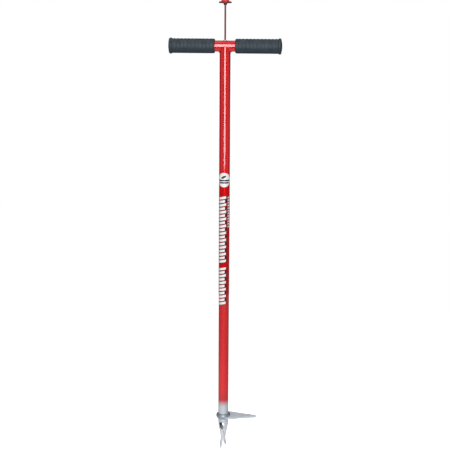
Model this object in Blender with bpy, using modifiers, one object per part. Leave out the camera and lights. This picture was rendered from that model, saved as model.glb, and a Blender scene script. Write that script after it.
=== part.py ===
"""Stand up weeder: a T-handled steel tube with a step plate, a twisted two-claw head and a sprung ejector.

Metres, +Z up. The origin is on the tube's axis, level with the claw tips, and the step plate points to +X.
The ejector is drawn raised, as its return spring holds it.
"""
import math

import bmesh
import bpy
from mathutils import Vector

MM = 0.001

# Clearances
GAP = 0.3 * MM
MERGE = 0.005 * MM
CUT_PAST = 2 * MM

# The one inch tube that both the shaft and the cross handle are made of
TUBE_R = 12.7 * MM
TUBE_WALL = 1.6 * MM
TUBE_BORE_R = TUBE_R - TUBE_WALL
SHAFT_BOTTOM_Z = 76.5 * MM
HANDLE_Z = 993 * MM
HANDLE_HALF = 126 * MM
HANDLE_TOP_Z = HANDLE_Z + TUBE_R
ROUND_STEPS = 40
MEDIUM_STEPS = 28
SMALL_STEPS = 20
CUTTER_STEPS = 48

# Weld between handle and shaft
HANDLE_WELD_SIDE_LEG = 4 * MM
HANDLE_WELD_FRONT_LEG = 0.9 * MM
HANDLE_WELD_SIDE_FILL = 0.5 * MM
HANDLE_WELD_FRONT_FILL = 0.8 * MM
HANDLE_WELD_SECTIONS = 40
HANDLE_WELD_ARC_POINTS = 4

# Grips and end plugs
GRIP_INNER_X = 23.3 * MM
GRIP_OUTER_X = 128.9 * MM
GRIP_R = 17 * MM
GRIP_FLANGE_R = 18.2 * MM
GRIP_FLANGE_WIDTH = 4.6 * MM
GRIP_FLANGE_ROUND = 1.2 * MM
GRIP_FLANGE_SLOPE = 1 * MM
GRIP_END_ROUND = 3.5 * MM
GRIP_RIBS = 11
GRIP_RIB_PITCH = 8.5 * MM
GRIP_GROOVE_DEPTH = 0.8 * MM
GRIP_STEPS = 24
PLUG_R = 16.5 * MM
PLUG_DOME = 2.2 * MM
PLUG_STEM_LENGTH = 15 * MM
PLUG_WALL = 2.6 * MM
PLUG_CHAMFER = 1.2 * MM

# Step plate and its two weld beads
STEP_Z = 84.6 * MM
STEP_HALF_THICKNESS = 2.25 * MM
STEP_EYE_R = 16.4 * MM
STEP_EDGE_ROUND = 0.9 * MM
WELD_LAND_R = 18.6 * MM
WELD_LAND_DEPTH = 0.5 * MM
STEP_WELD_R = 17.8 * MM
STEP_WELD_UPPER_HEIGHT = 5.5 * MM
STEP_WELD_LOWER_HEIGHT = 3.9 * MM
STEP_WELD_ARC_STEPS = 4
# Half of the plate's outline in millimetres, from its tip back to the start of the eye
STEP_OUTLINE_MM = [(82, 0), (81.2, 2.2), (67, 7.4), (42, 13.6), (19, 20.6), (11, 20.9), (5, 17.2)]

# Claw head: one formed tube whose two claws are drawn in to a waist, twisted, and flared at the tips
HEAD_R = 12.5 * MM
HEAD_WALL = 1.6 * MM
HEAD_TOP_Z = SHAFT_BOTTOM_Z - GAP
WINDOW_TOP_Z = 69.9 * MM
WINDOW_BOTTOM_Z = 55.4 * MM
SLIT_TOP_Z = 49.6 * MM
WAIST_TOP_Z = 25 * MM
WAIST_BOTTOM_Z = 22 * MM
SHOULDER_Z = 69 * MM
WAIST_R = 6.3 * MM
TIP_R = 12.9 * MM
FLARE_POWER = 1.3
CLAW_ROOT_ANGLE = math.radians(71.5)
NECK_TWIST = math.radians(42)
NECK_TWIST_TOP_Z = 55 * MM
NECK_TWIST_HEIGHT = 17 * MM
POINT_TWIST = math.radians(39.5)
POINT_TWIST_TOP_Z = 24 * MM
POINT_TWIST_HEIGHT = 21 * MM
ROOT_HALF_ANGLE = math.radians(52.5)
WAIST_HALF_ANGLE = math.radians(87)
TIP_HALF_WIDTH = 1.9 * MM
TAPER_START_Z = 16.5 * MM
TAPER_POWER = 2
POINT_HEIGHT = 3 * MM
POINT_SHARE = 0.5
TIP_LIFT = 0.6 * MM
CLAW_COLUMNS = 8
WINDOW_COLUMNS = 6
COLLAR_ROWS = 3
CLAW_ROWS = 32
HEAD_WELD_R = 13.5 * MM
HEAD_WELD_HALF = 1.1 * MM

# Inside the foot of the shaft: backing sleeve, rod guide, washer
SLEEVE_BOTTOM_Z = 74 * MM
SLEEVE_TOP_Z = 104 * MM
SLEEVE_BORE_R = 8.8 * MM
GUIDE_BOTTOM_Z = 91 * MM
GUIDE_FLANGE = 2 * MM
GUIDE_BORE_R = 2.3 * MM
GUIDE_CHAMFER = 1 * MM
WASHER_THICKNESS = 1 * MM
WASHER_R = 10.4 * MM
WASHER_BORE_R = 3 * MM

# Ejector rod and what is fixed to it
ROD_R = 2 * MM
ROD_STEPS = 16
ROD_CHAMFER = 0.5 * MM
FOOT_R = 4.2 * MM
FOOT_BOTTOM_Z = 79.7 * MM
FOOT_HEIGHT = 8 * MM
FOOT_ROUND = 0.8 * MM
FOOT_PIN_Z = 84.7 * MM
PIN_R = 0.8 * MM
PIN_HOLE_R = 1.1 * MM
PIN_HALF_LENGTH = 3.8 * MM
PIN_STEPS = 12
ROD_BOTTOM_Z = 81.5 * MM
ROD_TOP_Z = 1096 * MM
DISC_R = 10.5 * MM
DISC_THICKNESS = 4 * MM
DISC_CHAMFER = 0.8 * MM
DISC_LOWER_Z = 450 * MM
DISC_UPPER_Z = 720 * MM
CLIP_R = 4.4 * MM
CLIP_THICKNESS = 0.8 * MM
CLIP_MOUTH = 2.2 * MM
CLIP_GROOVE_R = 1.5 * MM

# Return spring between the washer and the spring seat
SPRING_LENGTH = 150 * MM
SPRING_MEAN_R = 7.2 * MM
SPRING_WIRE_R = 0.6 * MM
SPRING_TURNS = 12
SPRING_POINTS_PER_TURN = 10
SPRING_END_PITCH = 1.5 * MM
SEAT_R = 9.6 * MM
SEAT_THICKNESS = 1.6 * MM
SEAT_HUB_R = 6.1 * MM
SEAT_HUB_DEPTH = 5 * MM
SEAT_HUB_TAPER = 0.8 * MM

# Top bush and knob
BUSH_HOLE_R = 3.5 * MM
BUSH_FLANGE_R = 4.2 * MM
BUSH_FLANGE = 0.7 * MM
BUSH_CHAMFER = 0.3 * MM
BUSH_BARB_R = 3.9 * MM
BUSH_BARB_DROP = 0.9 * MM
BUSH_BARB_LENGTH = 1.8 * MM
ROD_PASS_R = 4 * MM
KNOB_BOTTOM_Z = 1085 * MM
KNOB_BRIM_Z = 1089.3 * MM
KNOB_BRIM_R = 14.8 * MM
KNOB_BRIM = 4.2 * MM
KNOB_DOME_R = 9.5 * MM
KNOB_TOP_Z = 1100.4 * MM
KNOB_CROWN_STEP = 15
KNOB_FILLET_R = 0.2 * MM
KNOB_FILLET_HEIGHT = 0.5 * MM
KNOB_NECK_R = 3.6 * MM
KNOB_NECK_FLARE = 1.6 * MM
KNOB_NECK_FLARE_DROP = 0.4 * MM
KNOB_NECK_ROUND = 1 * MM
KNOB_NECK_END_R = 3 * MM
INSERT_R = 4 * MM
INSERT_BOTTOM_Z = 1089.4 * MM
INSERT_TOP_Z = 1096.6 * MM

WASHER_Z = SLEEVE_TOP_Z + GAP + GUIDE_FLANGE + GAP
SPRING_Z = WASHER_Z + WASHER_THICKNESS + GAP
SEAT_Z = SPRING_Z + SPRING_LENGTH + GAP
CLIP_Z = SEAT_Z + SEAT_THICKNESS + GAP

PARTS_COLLECTION = "stand_up_weeder"
CUTTERS_COLLECTION = "cutters"


# ---------------------------------------------------------------- scene and materials

def clear_scene():
    for obj in list(bpy.data.objects):
        bpy.data.objects.remove(obj, do_unlink=True)


def collection(name):
    found = bpy.data.collections.get(name)
    if found is None:
        found = bpy.data.collections.new(name)
        bpy.context.scene.collection.children.link(found)
    return found


def material(name, color, roughness, metallic):
    """A Principled material, made once for each name."""
    found = bpy.data.materials.get(name)
    if found is None:
        found = bpy.data.materials.new(name)
        found.use_nodes = True
        shader = found.node_tree.nodes["Principled BSDF"]
        shader.inputs["Base Color"].default_value = (*color, 1)
        shader.inputs["Roughness"].default_value = roughness
        shader.inputs["Metallic"].default_value = metallic
    return found


def red_paint():
    return material("red_paint", (0.62, 0.02, 0.03), 0.25, 0)


def silver_paint():
    return material("silver_paint", (0.52, 0.56, 0.6), 0.35, 0.6)


def bare_steel():
    return material("bare_steel", (0.6, 0.62, 0.64), 0.3, 1)


def spring_steel():
    return material("spring_steel", (0.35, 0.36, 0.38), 0.3, 1)


def grip_rubber():
    return material("grip_rubber", (0.05, 0.065, 0.08), 0.6, 0)


def black_plastic():
    return material("black_plastic", (0.015, 0.016, 0.018), 0.45, 0)


def white_nylon():
    return material("white_nylon", (0.8, 0.79, 0.74), 0.4, 0)


def red_plastic():
    return material("red_plastic", (0.66, 0.03, 0.05), 0.3, 0)


def red_lacquer():
    return material("red_lacquer", (0.28, 0.05, 0.05), 0.35, 0.5)


def turned_brass():
    return material("turned_brass", (0.7, 0.5, 0.2), 0.3, 1)


# ---------------------------------------------------------------- modelling helpers

def add_part(name, data, look):
    data.materials.append(look)
    obj = bpy.data.objects.new(name, data)
    collection(PARTS_COLLECTION).objects.link(obj)
    return obj


def turned(name, profile, look, steps=ROUND_STEPS):
    """A body turned about its local Z. profile is (radius, height) pairs down the outer side.

    A profile that touches the axis at both ends is solid; any other closes on itself as a ring.
    """
    mesh = bpy.data.meshes.new(name)
    edges = [(i, i + 1) for i in range(len(profile) - 1)]
    if profile[0][0] > 0:
        edges.append((len(profile) - 1, 0))
    mesh.from_pydata([(radius, 0, height) for radius, height in profile], edges, [])
    obj = add_part(name, mesh, look)
    screw = obj.modifiers.new("Turn", "SCREW")
    screw.axis = "Z"
    screw.steps = steps
    screw.render_steps = steps
    screw.use_merge_vertices = True
    screw.merge_threshold = MERGE
    screw.use_smooth_shade = True
    return obj


def ring(name, outer_r, inner_r, bottom_z, top_z, look, steps=ROUND_STEPS):
    profile = [(outer_r, top_z), (outer_r, bottom_z), (inner_r, bottom_z), (inner_r, top_z)]
    return turned(name, profile, look, steps)


def arc(center_r, center_z, radius, start, end, points):
    """Points of an arc in a profile; its start and end are degrees turned from +radius towards +height."""
    angles = [math.radians(start + (end - start) * i / (points - 1)) for i in range(points)]
    return [(center_r + radius * math.cos(a), center_z + radius * math.sin(a)) for a in angles]


def cut_with(obj, cutter):
    """Cut a hole in obj and keep the cutter as a hidden guide."""
    for holder in list(cutter.users_collection):
        holder.objects.unlink(cutter)
    collection(CUTTERS_COLLECTION).objects.link(cutter)
    cutter.hide_render = True
    cutter.display_type = "WIRE"
    boolean = obj.modifiers.new("Cut " + cutter.name, "BOOLEAN")
    boolean.operation = "DIFFERENCE"
    boolean.solver = "EXACT"
    boolean.object = cutter


def drill(obj, name, radius, start, end, vertices=24):
    """Cut a round hole from the point start to the point end."""
    along = Vector(end) - Vector(start)
    bpy.ops.mesh.primitive_cylinder_add(vertices=vertices, radius=radius, depth=along.length)
    cutter = bpy.context.object
    cutter.name = name
    cutter.rotation_euler = along.to_track_quat("Z", "Y").to_euler()
    cutter.location = Vector(start) + along / 2
    cut_with(obj, cutter)


def to_mesh(obj):
    """Replace a curve by its mesh, with its loose caps welded."""
    depsgraph = bpy.context.evaluated_depsgraph_get()
    mesh = bpy.data.meshes.new_from_object(obj.evaluated_get(depsgraph))
    shape = bmesh.new()
    shape.from_mesh(mesh)
    bmesh.ops.remove_doubles(shape, verts=shape.verts, dist=MERGE)
    bmesh.ops.recalc_face_normals(shape, faces=shape.faces)
    shape.to_mesh(mesh)
    shape.free()
    solid = bpy.data.objects.new(obj.name, mesh)
    solid.matrix_world = obj.matrix_world
    name = obj.name
    bpy.data.objects.remove(obj, do_unlink=True)
    solid.name = name
    collection(PARTS_COLLECTION).objects.link(solid)
    return solid


def loft_closed(name, sections, look):
    """A ring of equal closed sections, each joined to the next and the last to the first."""
    shape = bmesh.new()
    rows = [[shape.verts.new(point) for point in section] for section in sections]
    count = len(sections[0])
    for i, row in enumerate(rows):
        following = rows[(i + 1) % len(rows)]
        for j in range(count):
            k = (j + 1) % count
            shape.faces.new((row[j], row[k], following[k], following[j]))
    bmesh.ops.recalc_face_normals(shape, faces=shape.faces)
    mesh = bpy.data.meshes.new(name)
    shape.to_mesh(mesh)
    shape.free()
    mesh.shade_smooth()
    return add_part(name, mesh, look)


# ---------------------------------------------------------------- frame: tubes and handle

def lay_along_x(obj, side=1):
    """Turn a body's own +Z to point along +X, or -X for side -1."""
    obj.rotation_euler = (0, side * math.pi / 2, 0)


def shaft_tube():
    """The long tube, its top coped to saddle the cross handle."""
    tube = ring("shaft_tube", TUBE_R, TUBE_BORE_R, SHAFT_BOTTOM_Z, HANDLE_Z, red_paint())
    saddle_half = TUBE_R + CUT_PAST
    drill(tube, "saddle_cutter", TUBE_R + GAP,
          (-saddle_half, 0, HANDLE_Z), (saddle_half, 0, HANDLE_Z), CUTTER_STEPS)


def handle_tube():
    """The cross tube, drilled for the bush at the top and for the rod at the bottom."""
    tube = ring("handle_tube", TUBE_R, TUBE_BORE_R, -HANDLE_HALF, HANDLE_HALF, red_paint())
    lay_along_x(tube)
    tube.location = (0, 0, HANDLE_Z)
    drill(tube, "bush_hole_cutter", BUSH_HOLE_R,
          (0, 0, HANDLE_Z), (0, 0, HANDLE_TOP_Z + CUT_PAST))
    drill(tube, "rod_hole_cutter", ROD_PASS_R,
          (0, 0, HANDLE_Z - TUBE_R - CUT_PAST), (0, 0, HANDLE_Z - CUT_PAST))


def handle_weld_section(turn):
    """One section of the weld: a fillet at the shaft's two sides, a low bead at its front and back."""
    side = abs(math.cos(turn))
    front = abs(math.sin(turn))
    x_sign = math.copysign(1, math.cos(turn))
    y_sign = math.copysign(1, math.sin(turn))
    radius = TUBE_R + GAP
    leg = HANDLE_WELD_FRONT_LEG + (HANDLE_WELD_SIDE_LEG - HANDLE_WELD_FRONT_LEG) * side ** 1.5
    fill = HANDLE_WELD_SIDE_FILL + (HANDLE_WELD_FRONT_FILL - HANDLE_WELD_SIDE_FILL) * front ** 2
    around = math.atan2(front, side) + leg * front / radius
    corner = Vector((radius * side, radius * front, HANDLE_Z - radius * side))
    on_shaft = Vector((radius * side, radius * front, HANDLE_Z - radius * side - leg))
    handle_y = radius * math.sin(around)
    on_handle = Vector(((radius + leg) * side, handle_y, HANDLE_Z - radius * math.cos(around)))
    outward = Vector((side, 2 * front, -side)).normalized()
    crown = corner + outward * fill
    section = [corner]
    for i in range(HANDLE_WELD_ARC_POINTS + 1):
        t = i / HANDLE_WELD_ARC_POINTS
        section.append(on_shaft * (1 - t) ** 2 + crown * (2 * t * (1 - t)) + on_handle * t ** 2)
    return [(p.x * x_sign, p.y * y_sign, p.z) for p in section]


def handle_weld():
    turns = [math.tau * (i + 0.5) / HANDLE_WELD_SECTIONS for i in range(HANDLE_WELD_SECTIONS)]
    loft_closed("handle_weld", [handle_weld_section(turn) for turn in turns], red_paint())


def grip_profile():
    """Half section of a grip along its own axis, from the outer flange to the rounded inner end."""
    valley_r = GRIP_R - GRIP_GROOVE_DEPTH
    flange_x = GRIP_OUTER_X - GRIP_FLANGE_WIDTH
    rim = GRIP_FLANGE_ROUND
    profile = arc(GRIP_FLANGE_R - rim, GRIP_OUTER_X - rim, rim, 90, 0, 3)
    profile += [(GRIP_FLANGE_R, flange_x + GRIP_FLANGE_SLOPE), (valley_r, flange_x - GRIP_FLANGE_SLOPE)]
    for i in range(GRIP_RIBS):
        crest_x = flange_x - GRIP_FLANGE_SLOPE - (i + 0.5) * GRIP_RIB_PITCH
        profile.append((GRIP_R, crest_x))
        profile.append((valley_r, crest_x - GRIP_RIB_PITCH / 2))
    profile += arc(GRIP_R - GRIP_END_ROUND, GRIP_INNER_X + GRIP_END_ROUND, GRIP_END_ROUND, 0, -90, 4)
    bore_r = TUBE_R + GAP
    return profile + [(bore_r, GRIP_INNER_X), (bore_r, GRIP_OUTER_X)]


def grip(name, side):
    obj = turned(name, grip_profile(), grip_rubber(), GRIP_STEPS)
    lay_along_x(obj, side)
    obj.location = (0, 0, HANDLE_Z)


def end_plug(name, side):
    """Push-in plug: a low dome over the grip's end on a hollow stem inside the tube."""
    face_x = GRIP_OUTER_X + GAP
    dome_r = (PLUG_R ** 2 + PLUG_DOME ** 2) / (2 * PLUG_DOME)
    spread = math.degrees(math.asin(PLUG_R / dome_r))
    stem_r = TUBE_BORE_R - GAP
    stem_end_x = face_x - PLUG_STEM_LENGTH
    dome = arc(0, face_x + PLUG_DOME - dome_r, dome_r, 90, 90 - spread, 5)
    dome[0] = (0, face_x + PLUG_DOME)
    inner_r = stem_r - PLUG_WALL
    floor_x = face_x - PLUG_WALL
    profile = dome + [(stem_r, face_x), (stem_r, stem_end_x + PLUG_CHAMFER)]
    profile += [(stem_r - PLUG_CHAMFER, stem_end_x), (inner_r, stem_end_x), (inner_r, floor_x), (0, floor_x)]
    obj = turned(name, profile, black_plastic(), GRIP_STEPS)
    lay_along_x(obj, side)
    obj.location = (0, 0, HANDLE_Z)


def top_bush():
    """Snap-in nylon bush where the rod enters the handle."""
    flange_z = HANDLE_TOP_Z + GAP
    wall_z = HANDLE_TOP_Z - TUBE_WALL
    neck_r = BUSH_HOLE_R - GAP
    barb_z = wall_z - BUSH_BARB_DROP
    top_z = flange_z + BUSH_FLANGE
    bottom_z = barb_z - BUSH_BARB_LENGTH
    profile = [(BUSH_FLANGE_R - BUSH_CHAMFER, top_z), (BUSH_FLANGE_R, top_z - BUSH_CHAMFER)]
    profile += [(BUSH_FLANGE_R, flange_z), (neck_r, flange_z), (neck_r, barb_z)]
    profile += [(BUSH_BARB_R, barb_z), (neck_r, bottom_z), (GUIDE_BORE_R, bottom_z), (GUIDE_BORE_R, top_z)]
    turned("top_bush", profile, white_nylon(), SMALL_STEPS)


# ---------------------------------------------------------------- frame: step plate

def step_outline():
    """The plate's outline, from its tip along +Y, round the eye, and back along -Y."""
    half = [(x * MM, y * MM) for x, y in STEP_OUTLINE_MM]
    half += [(-STEP_EYE_R * math.sin(a), STEP_EYE_R * math.cos(a)) for a in map(math.radians, (0, 30, 60))]
    mirrored = [(x, -y) for x, y in reversed(half[1:])]
    return half + [(-STEP_EYE_R, 0)] + mirrored


def step_plate():
    """A pointed flat plate with an eye round the shaft."""
    outline = step_outline()
    curve = bpy.data.curves.new("step_plate", "CURVE")
    curve.dimensions = "2D"
    curve.fill_mode = "BOTH"
    curve.bevel_depth = STEP_EDGE_ROUND
    curve.bevel_resolution = 0
    curve.offset = -STEP_EDGE_ROUND
    curve.extrude = STEP_HALF_THICKNESS - STEP_EDGE_ROUND
    curve.resolution_u = 3
    spline = curve.splines.new("BEZIER")
    spline.bezier_points.add(len(outline) - 1)
    for handle_point, (x, y) in zip(spline.bezier_points, outline):
        handle_point.co = (x, y, 0)
        handle_point.handle_left_type = "AUTO"
        handle_point.handle_right_type = "AUTO"
    spline.use_cyclic_u = True
    plate = add_part("step_plate", curve, silver_paint())
    plate.location = (0, 0, STEP_Z)
    plate = to_mesh(plate)
    top_z = STEP_Z + STEP_HALF_THICKNESS
    drill(plate, "weld_land_cutter", WELD_LAND_R,
          (0, 0, top_z - WELD_LAND_DEPTH), (0, 0, top_z + CUT_PAST), CUTTER_STEPS)
    drill(plate, "shaft_hole_cutter", TUBE_R + GAP,
          (0, 0, STEP_Z - STEP_HALF_THICKNESS - CUT_PAST), (0, 0, top_z), CUTTER_STEPS)


def step_weld(name, base_z, height):
    """A bead round the shaft, a quarter ellipse in section; a height below 0 goes down from base_z."""
    inner_r = TUBE_R + GAP
    width = STEP_WELD_R - inner_r
    turns = [math.pi / 2 * i / STEP_WELD_ARC_STEPS for i in range(STEP_WELD_ARC_STEPS + 1)]
    crown = [(inner_r + width * math.cos(a), base_z + height * math.sin(a)) for a in turns]
    if height > 0:
        crown.reverse()
    turned(name, crown + [(inner_r, base_z)], silver_paint(), MEDIUM_STEPS)


# ---------------------------------------------------------------- frame: claw head and foot of the shaft

def smoothstep(t):
    t = min(max(t, 0), 1)
    return t * t * (3 - 2 * t)


def head_radius(z):
    """Outer radius of the formed head: the tube, drawn in to the waist, then flared to the tips."""
    if z >= WAIST_BOTTOM_Z:
        return WAIST_R + (HEAD_R - WAIST_R) * smoothstep((z - WAIST_TOP_Z) / (SHOULDER_Z - WAIST_TOP_Z))
    return WAIST_R + (TIP_R - WAIST_R) * (1 - z / WAIST_BOTTOM_Z) ** FLARE_POWER


def claw_angle(z):
    """Angle of the first claw's centre line, from the front round to +X."""
    neck = smoothstep((NECK_TWIST_TOP_Z - z) / NECK_TWIST_HEIGHT)
    tip = smoothstep((POINT_TWIST_TOP_Z - z) / POINT_TWIST_HEIGHT)
    return CLAW_ROOT_ANGLE + NECK_TWIST * neck + POINT_TWIST * tip


def claw_half_angle(z):
    """Half of the angle that a claw spans: beside the window, then all but closed, then to a blunt point."""
    if z >= TAPER_START_Z:
        closing = smoothstep((WINDOW_BOTTOM_Z - z) / (WINDOW_BOTTOM_Z - SLIT_TOP_Z))
        return ROOT_HALF_ANGLE + (WAIST_HALF_ANGLE - ROOT_HALF_ANGLE) * closing
    widest = WAIST_HALF_ANGLE * head_radius(TAPER_START_Z)
    half_width = TIP_HALF_WIDTH + (widest - TIP_HALF_WIDTH) * (z / TAPER_START_Z) ** TAPER_POWER
    if z < POINT_HEIGHT:
        half_width *= POINT_SHARE + (1 - POINT_SHARE) * math.sqrt(z / POINT_HEIGHT)
    return half_width / head_radius(z)


def head_point(angle, z):
    radius = head_radius(z)
    return (radius * math.sin(angle), -radius * math.cos(angle), z)


def arch_height(across):
    """Height of a window's round top at a place across it, -1 to 1."""
    half_width = (math.pi / 2 - ROOT_HALF_ANGLE) * HEAD_R
    return WINDOW_TOP_Z - half_width * (1 - math.sqrt(max(0, 1 - across ** 2)))


def claw_head():
    """Collar and two claws as one sheet, thickened inward."""
    root_z = arch_height(1)
    columns = []
    for half_turn in (0, math.pi):
        for i in range(CLAW_COLUMNS):
            share = -1 + 2 * i / CLAW_COLUMNS
            columns.append((CLAW_ROOT_ANGLE + half_turn + share * ROOT_HALF_ANGLE, root_z))
        window_half = math.pi / 2 - ROOT_HALF_ANGLE
        for i in range(WINDOW_COLUMNS):
            across = -math.cos(math.pi * i / WINDOW_COLUMNS)
            window_center = CLAW_ROOT_ANGLE + half_turn + math.pi / 2
            columns.append((window_center + across * window_half, arch_height(across)))
    sheet = bmesh.new()
    collar = []
    for angle, lower_z in columns:
        heights = [HEAD_TOP_Z + (lower_z - HEAD_TOP_Z) * row / COLLAR_ROWS for row in range(COLLAR_ROWS + 1)]
        collar.append([sheet.verts.new(head_point(angle, z)) for z in heights])
    for i, column in enumerate(collar):
        following = collar[(i + 1) % len(collar)]
        for row in range(COLLAR_ROWS):
            sheet.faces.new((column[row], column[row + 1], following[row + 1], following[row]))
    for claw in (0, 1):
        first = claw * (CLAW_COLUMNS + WINDOW_COLUMNS)
        row = [collar[(first + i) % len(collar)][-1] for i in range(CLAW_COLUMNS + 1)]
        for step in range(1, CLAW_ROWS + 1):
            z = TIP_LIFT + (root_z - TIP_LIFT) * (1 - step / CLAW_ROWS)
            center = claw_angle(z) + claw * math.pi
            spread = claw_half_angle(z)
            below = [sheet.verts.new(head_point(center + spread * (-1 + 2 * i / CLAW_COLUMNS), z))
                     for i in range(CLAW_COLUMNS + 1)]
            for i in range(CLAW_COLUMNS):
                sheet.faces.new((row[i], below[i], below[i + 1], row[i + 1]))
            row = below
    mesh = bpy.data.meshes.new("claw_head")
    sheet.to_mesh(mesh)
    sheet.free()
    mesh.shade_smooth()
    head = add_part("claw_head", mesh, silver_paint())
    wall = head.modifiers.new("Wall", "SOLIDIFY")
    wall.thickness = HEAD_WALL
    wall.offset = -1
    wall.use_even_offset = True


def head_weld():
    """The thin weld line where the head meets the shaft."""
    middle_z = SHAFT_BOTTOM_Z - GAP / 2
    inner_r = TUBE_R + GAP
    profile = [(inner_r, middle_z + HEAD_WELD_HALF), (HEAD_WELD_R, middle_z + HEAD_WELD_HALF / 2)]
    profile += [(HEAD_WELD_R, middle_z - HEAD_WELD_HALF / 2), (inner_r, middle_z - HEAD_WELD_HALF)]
    turned("head_weld", profile, silver_paint())


def backing_sleeve():
    """Sleeve behind the head weld; its top is the seat for the rod guide."""
    outer_r = HEAD_R - HEAD_WALL - GAP
    ring("backing_sleeve", outer_r, SLEEVE_BORE_R, SLEEVE_BOTTOM_Z, SLEEVE_TOP_Z, bare_steel(), MEDIUM_STEPS)


def rod_guide():
    flange_z = SLEEVE_TOP_Z + GAP
    flange_r = TUBE_BORE_R - GAP
    body_r = SLEEVE_BORE_R - GAP
    profile = [(flange_r, flange_z + GUIDE_FLANGE), (flange_r, flange_z), (body_r, flange_z)]
    profile += [(body_r, GUIDE_BOTTOM_Z + GUIDE_CHAMFER), (body_r - GUIDE_CHAMFER, GUIDE_BOTTOM_Z)]
    profile += [(GUIDE_BORE_R, GUIDE_BOTTOM_Z), (GUIDE_BORE_R, flange_z + GUIDE_FLANGE)]
    turned("rod_guide", profile, white_nylon(), MEDIUM_STEPS)


def spring_washer():
    top_z = WASHER_Z + WASHER_THICKNESS
    ring("spring_washer", WASHER_R, WASHER_BORE_R, WASHER_Z, top_z, bare_steel(), MEDIUM_STEPS)


# ---------------------------------------------------------------- ejector

def return_spring():
    """Compression spring with a closed turn at each end."""
    def height(turn):
        """Height of the wire's centre: one close turn, the open turns, one close turn."""
        open_turns = SPRING_TURNS - 2
        open_pitch = (SPRING_LENGTH - 2 * SPRING_WIRE_R - 2 * SPRING_END_PITCH) / open_turns
        low = min(turn, 1) * SPRING_END_PITCH
        middle = min(max(turn - 1, 0), open_turns) * open_pitch
        high = max(turn - 1 - open_turns, 0) * SPRING_END_PITCH
        return SPRING_Z + SPRING_WIRE_R + low + middle + high

    curve = bpy.data.curves.new("return_spring", "CURVE")
    curve.dimensions = "3D"
    curve.bevel_depth = SPRING_WIRE_R
    curve.bevel_resolution = 2
    curve.use_fill_caps = True
    count = SPRING_TURNS * SPRING_POINTS_PER_TURN + 1
    spline = curve.splines.new("POLY")
    spline.points.add(count - 1)
    for i, spline_point in enumerate(spline.points):
        turn = i / SPRING_POINTS_PER_TURN
        angle = math.tau * turn
        spline_point.co = (SPRING_MEAN_R * math.cos(angle), SPRING_MEAN_R * math.sin(angle), height(turn), 1)
    add_part("return_spring", curve, spring_steel())


def spring_seat():
    """Cup washer on the rod that the spring pushes up against the clip."""
    top_z = SEAT_Z + SEAT_THICKNESS
    hub_z = SEAT_Z - SEAT_HUB_DEPTH
    profile = [(SEAT_R, top_z), (SEAT_R, SEAT_Z), (SEAT_HUB_R, SEAT_Z), (SEAT_HUB_R - SEAT_HUB_TAPER, hub_z)]
    profile += [(GUIDE_BORE_R, hub_z), (GUIDE_BORE_R, top_z)]
    turned("spring_seat", profile, white_nylon(), MEDIUM_STEPS)


def seat_clip():
    """Open retaining ring in the rod's groove."""
    bore_r = CLIP_GROOVE_R + GAP
    clip = ring("seat_clip", CLIP_R, bore_r, CLIP_Z, CLIP_Z + CLIP_THICKNESS, bare_steel(), SMALL_STEPS)
    bpy.ops.mesh.primitive_cube_add(size=1)
    mouth = bpy.context.object
    mouth.name = "clip_mouth_cutter"
    mouth.scale = (CLIP_R * 2, CLIP_MOUTH, CLIP_THICKNESS + 2 * CUT_PAST)
    mouth.location = (CLIP_R, 0, CLIP_Z + CLIP_THICKNESS / 2)
    cut_with(clip, mouth)


def ejector_rod():
    """The long push rod, grooved for the seat clip and cross drilled for the foot pin."""
    groove_low = CLIP_Z - GAP
    groove_high = CLIP_Z + CLIP_THICKNESS + GAP
    end_r = ROD_R - ROD_CHAMFER
    profile = [(0, ROD_TOP_Z), (end_r, ROD_TOP_Z), (ROD_R, ROD_TOP_Z - ROD_CHAMFER)]
    profile += [(ROD_R, groove_high), (CLIP_GROOVE_R, groove_high)]
    profile += [(CLIP_GROOVE_R, groove_low), (ROD_R, groove_low)]
    profile += [(ROD_R, ROD_BOTTOM_Z + ROD_CHAMFER), (end_r, ROD_BOTTOM_Z), (0, ROD_BOTTOM_Z)]
    rod = turned("ejector_rod", profile, red_lacquer(), ROD_STEPS)
    past = ROD_R + CUT_PAST
    drill(rod, "rod_pin_cutter", PIN_HOLE_R, (-past, 0, FOOT_PIN_Z), (past, 0, FOOT_PIN_Z), PIN_STEPS)


def ejector_foot():
    """The pusher at the rod's lower end."""
    top_z = FOOT_BOTTOM_Z + FOOT_HEIGHT
    bore_r = ROD_R + GAP
    bore_z = ROD_BOTTOM_Z - GAP
    face_r = FOOT_R - FOOT_ROUND
    profile = [(0, bore_z), (bore_r, bore_z), (bore_r, top_z), (face_r, top_z), (FOOT_R, top_z - FOOT_ROUND)]
    profile += [(FOOT_R, FOOT_BOTTOM_Z + FOOT_ROUND), (face_r, FOOT_BOTTOM_Z), (0, FOOT_BOTTOM_Z)]
    foot = turned("ejector_foot", profile, bare_steel(), SMALL_STEPS)
    past = FOOT_R + CUT_PAST
    drill(foot, "foot_pin_cutter", PIN_HOLE_R, (-past, 0, FOOT_PIN_Z), (past, 0, FOOT_PIN_Z), PIN_STEPS)


def foot_pin():
    bpy.ops.mesh.primitive_cylinder_add(vertices=PIN_STEPS, radius=PIN_R, depth=2 * PIN_HALF_LENGTH)
    pin = bpy.context.object
    mesh = pin.data
    bpy.data.objects.remove(pin, do_unlink=True)
    mesh.shade_smooth()
    mesh.set_sharp_from_angle(angle=math.radians(40))
    pin = add_part("foot_pin", mesh, bare_steel())
    lay_along_x(pin)
    pin.location = (0, 0, FOOT_PIN_Z)


def rod_disc(name, z):
    """Nylon disc that keeps the rod in the middle of the shaft."""
    top_z = z + DISC_THICKNESS
    face_r = DISC_R - DISC_CHAMFER
    profile = [(face_r, top_z), (DISC_R, top_z - DISC_CHAMFER), (DISC_R, z + DISC_CHAMFER), (face_r, z)]
    profile += [(GUIDE_BORE_R, z), (GUIDE_BORE_R, top_z)]
    turned(name, profile, white_nylon(), SMALL_STEPS)


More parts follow.
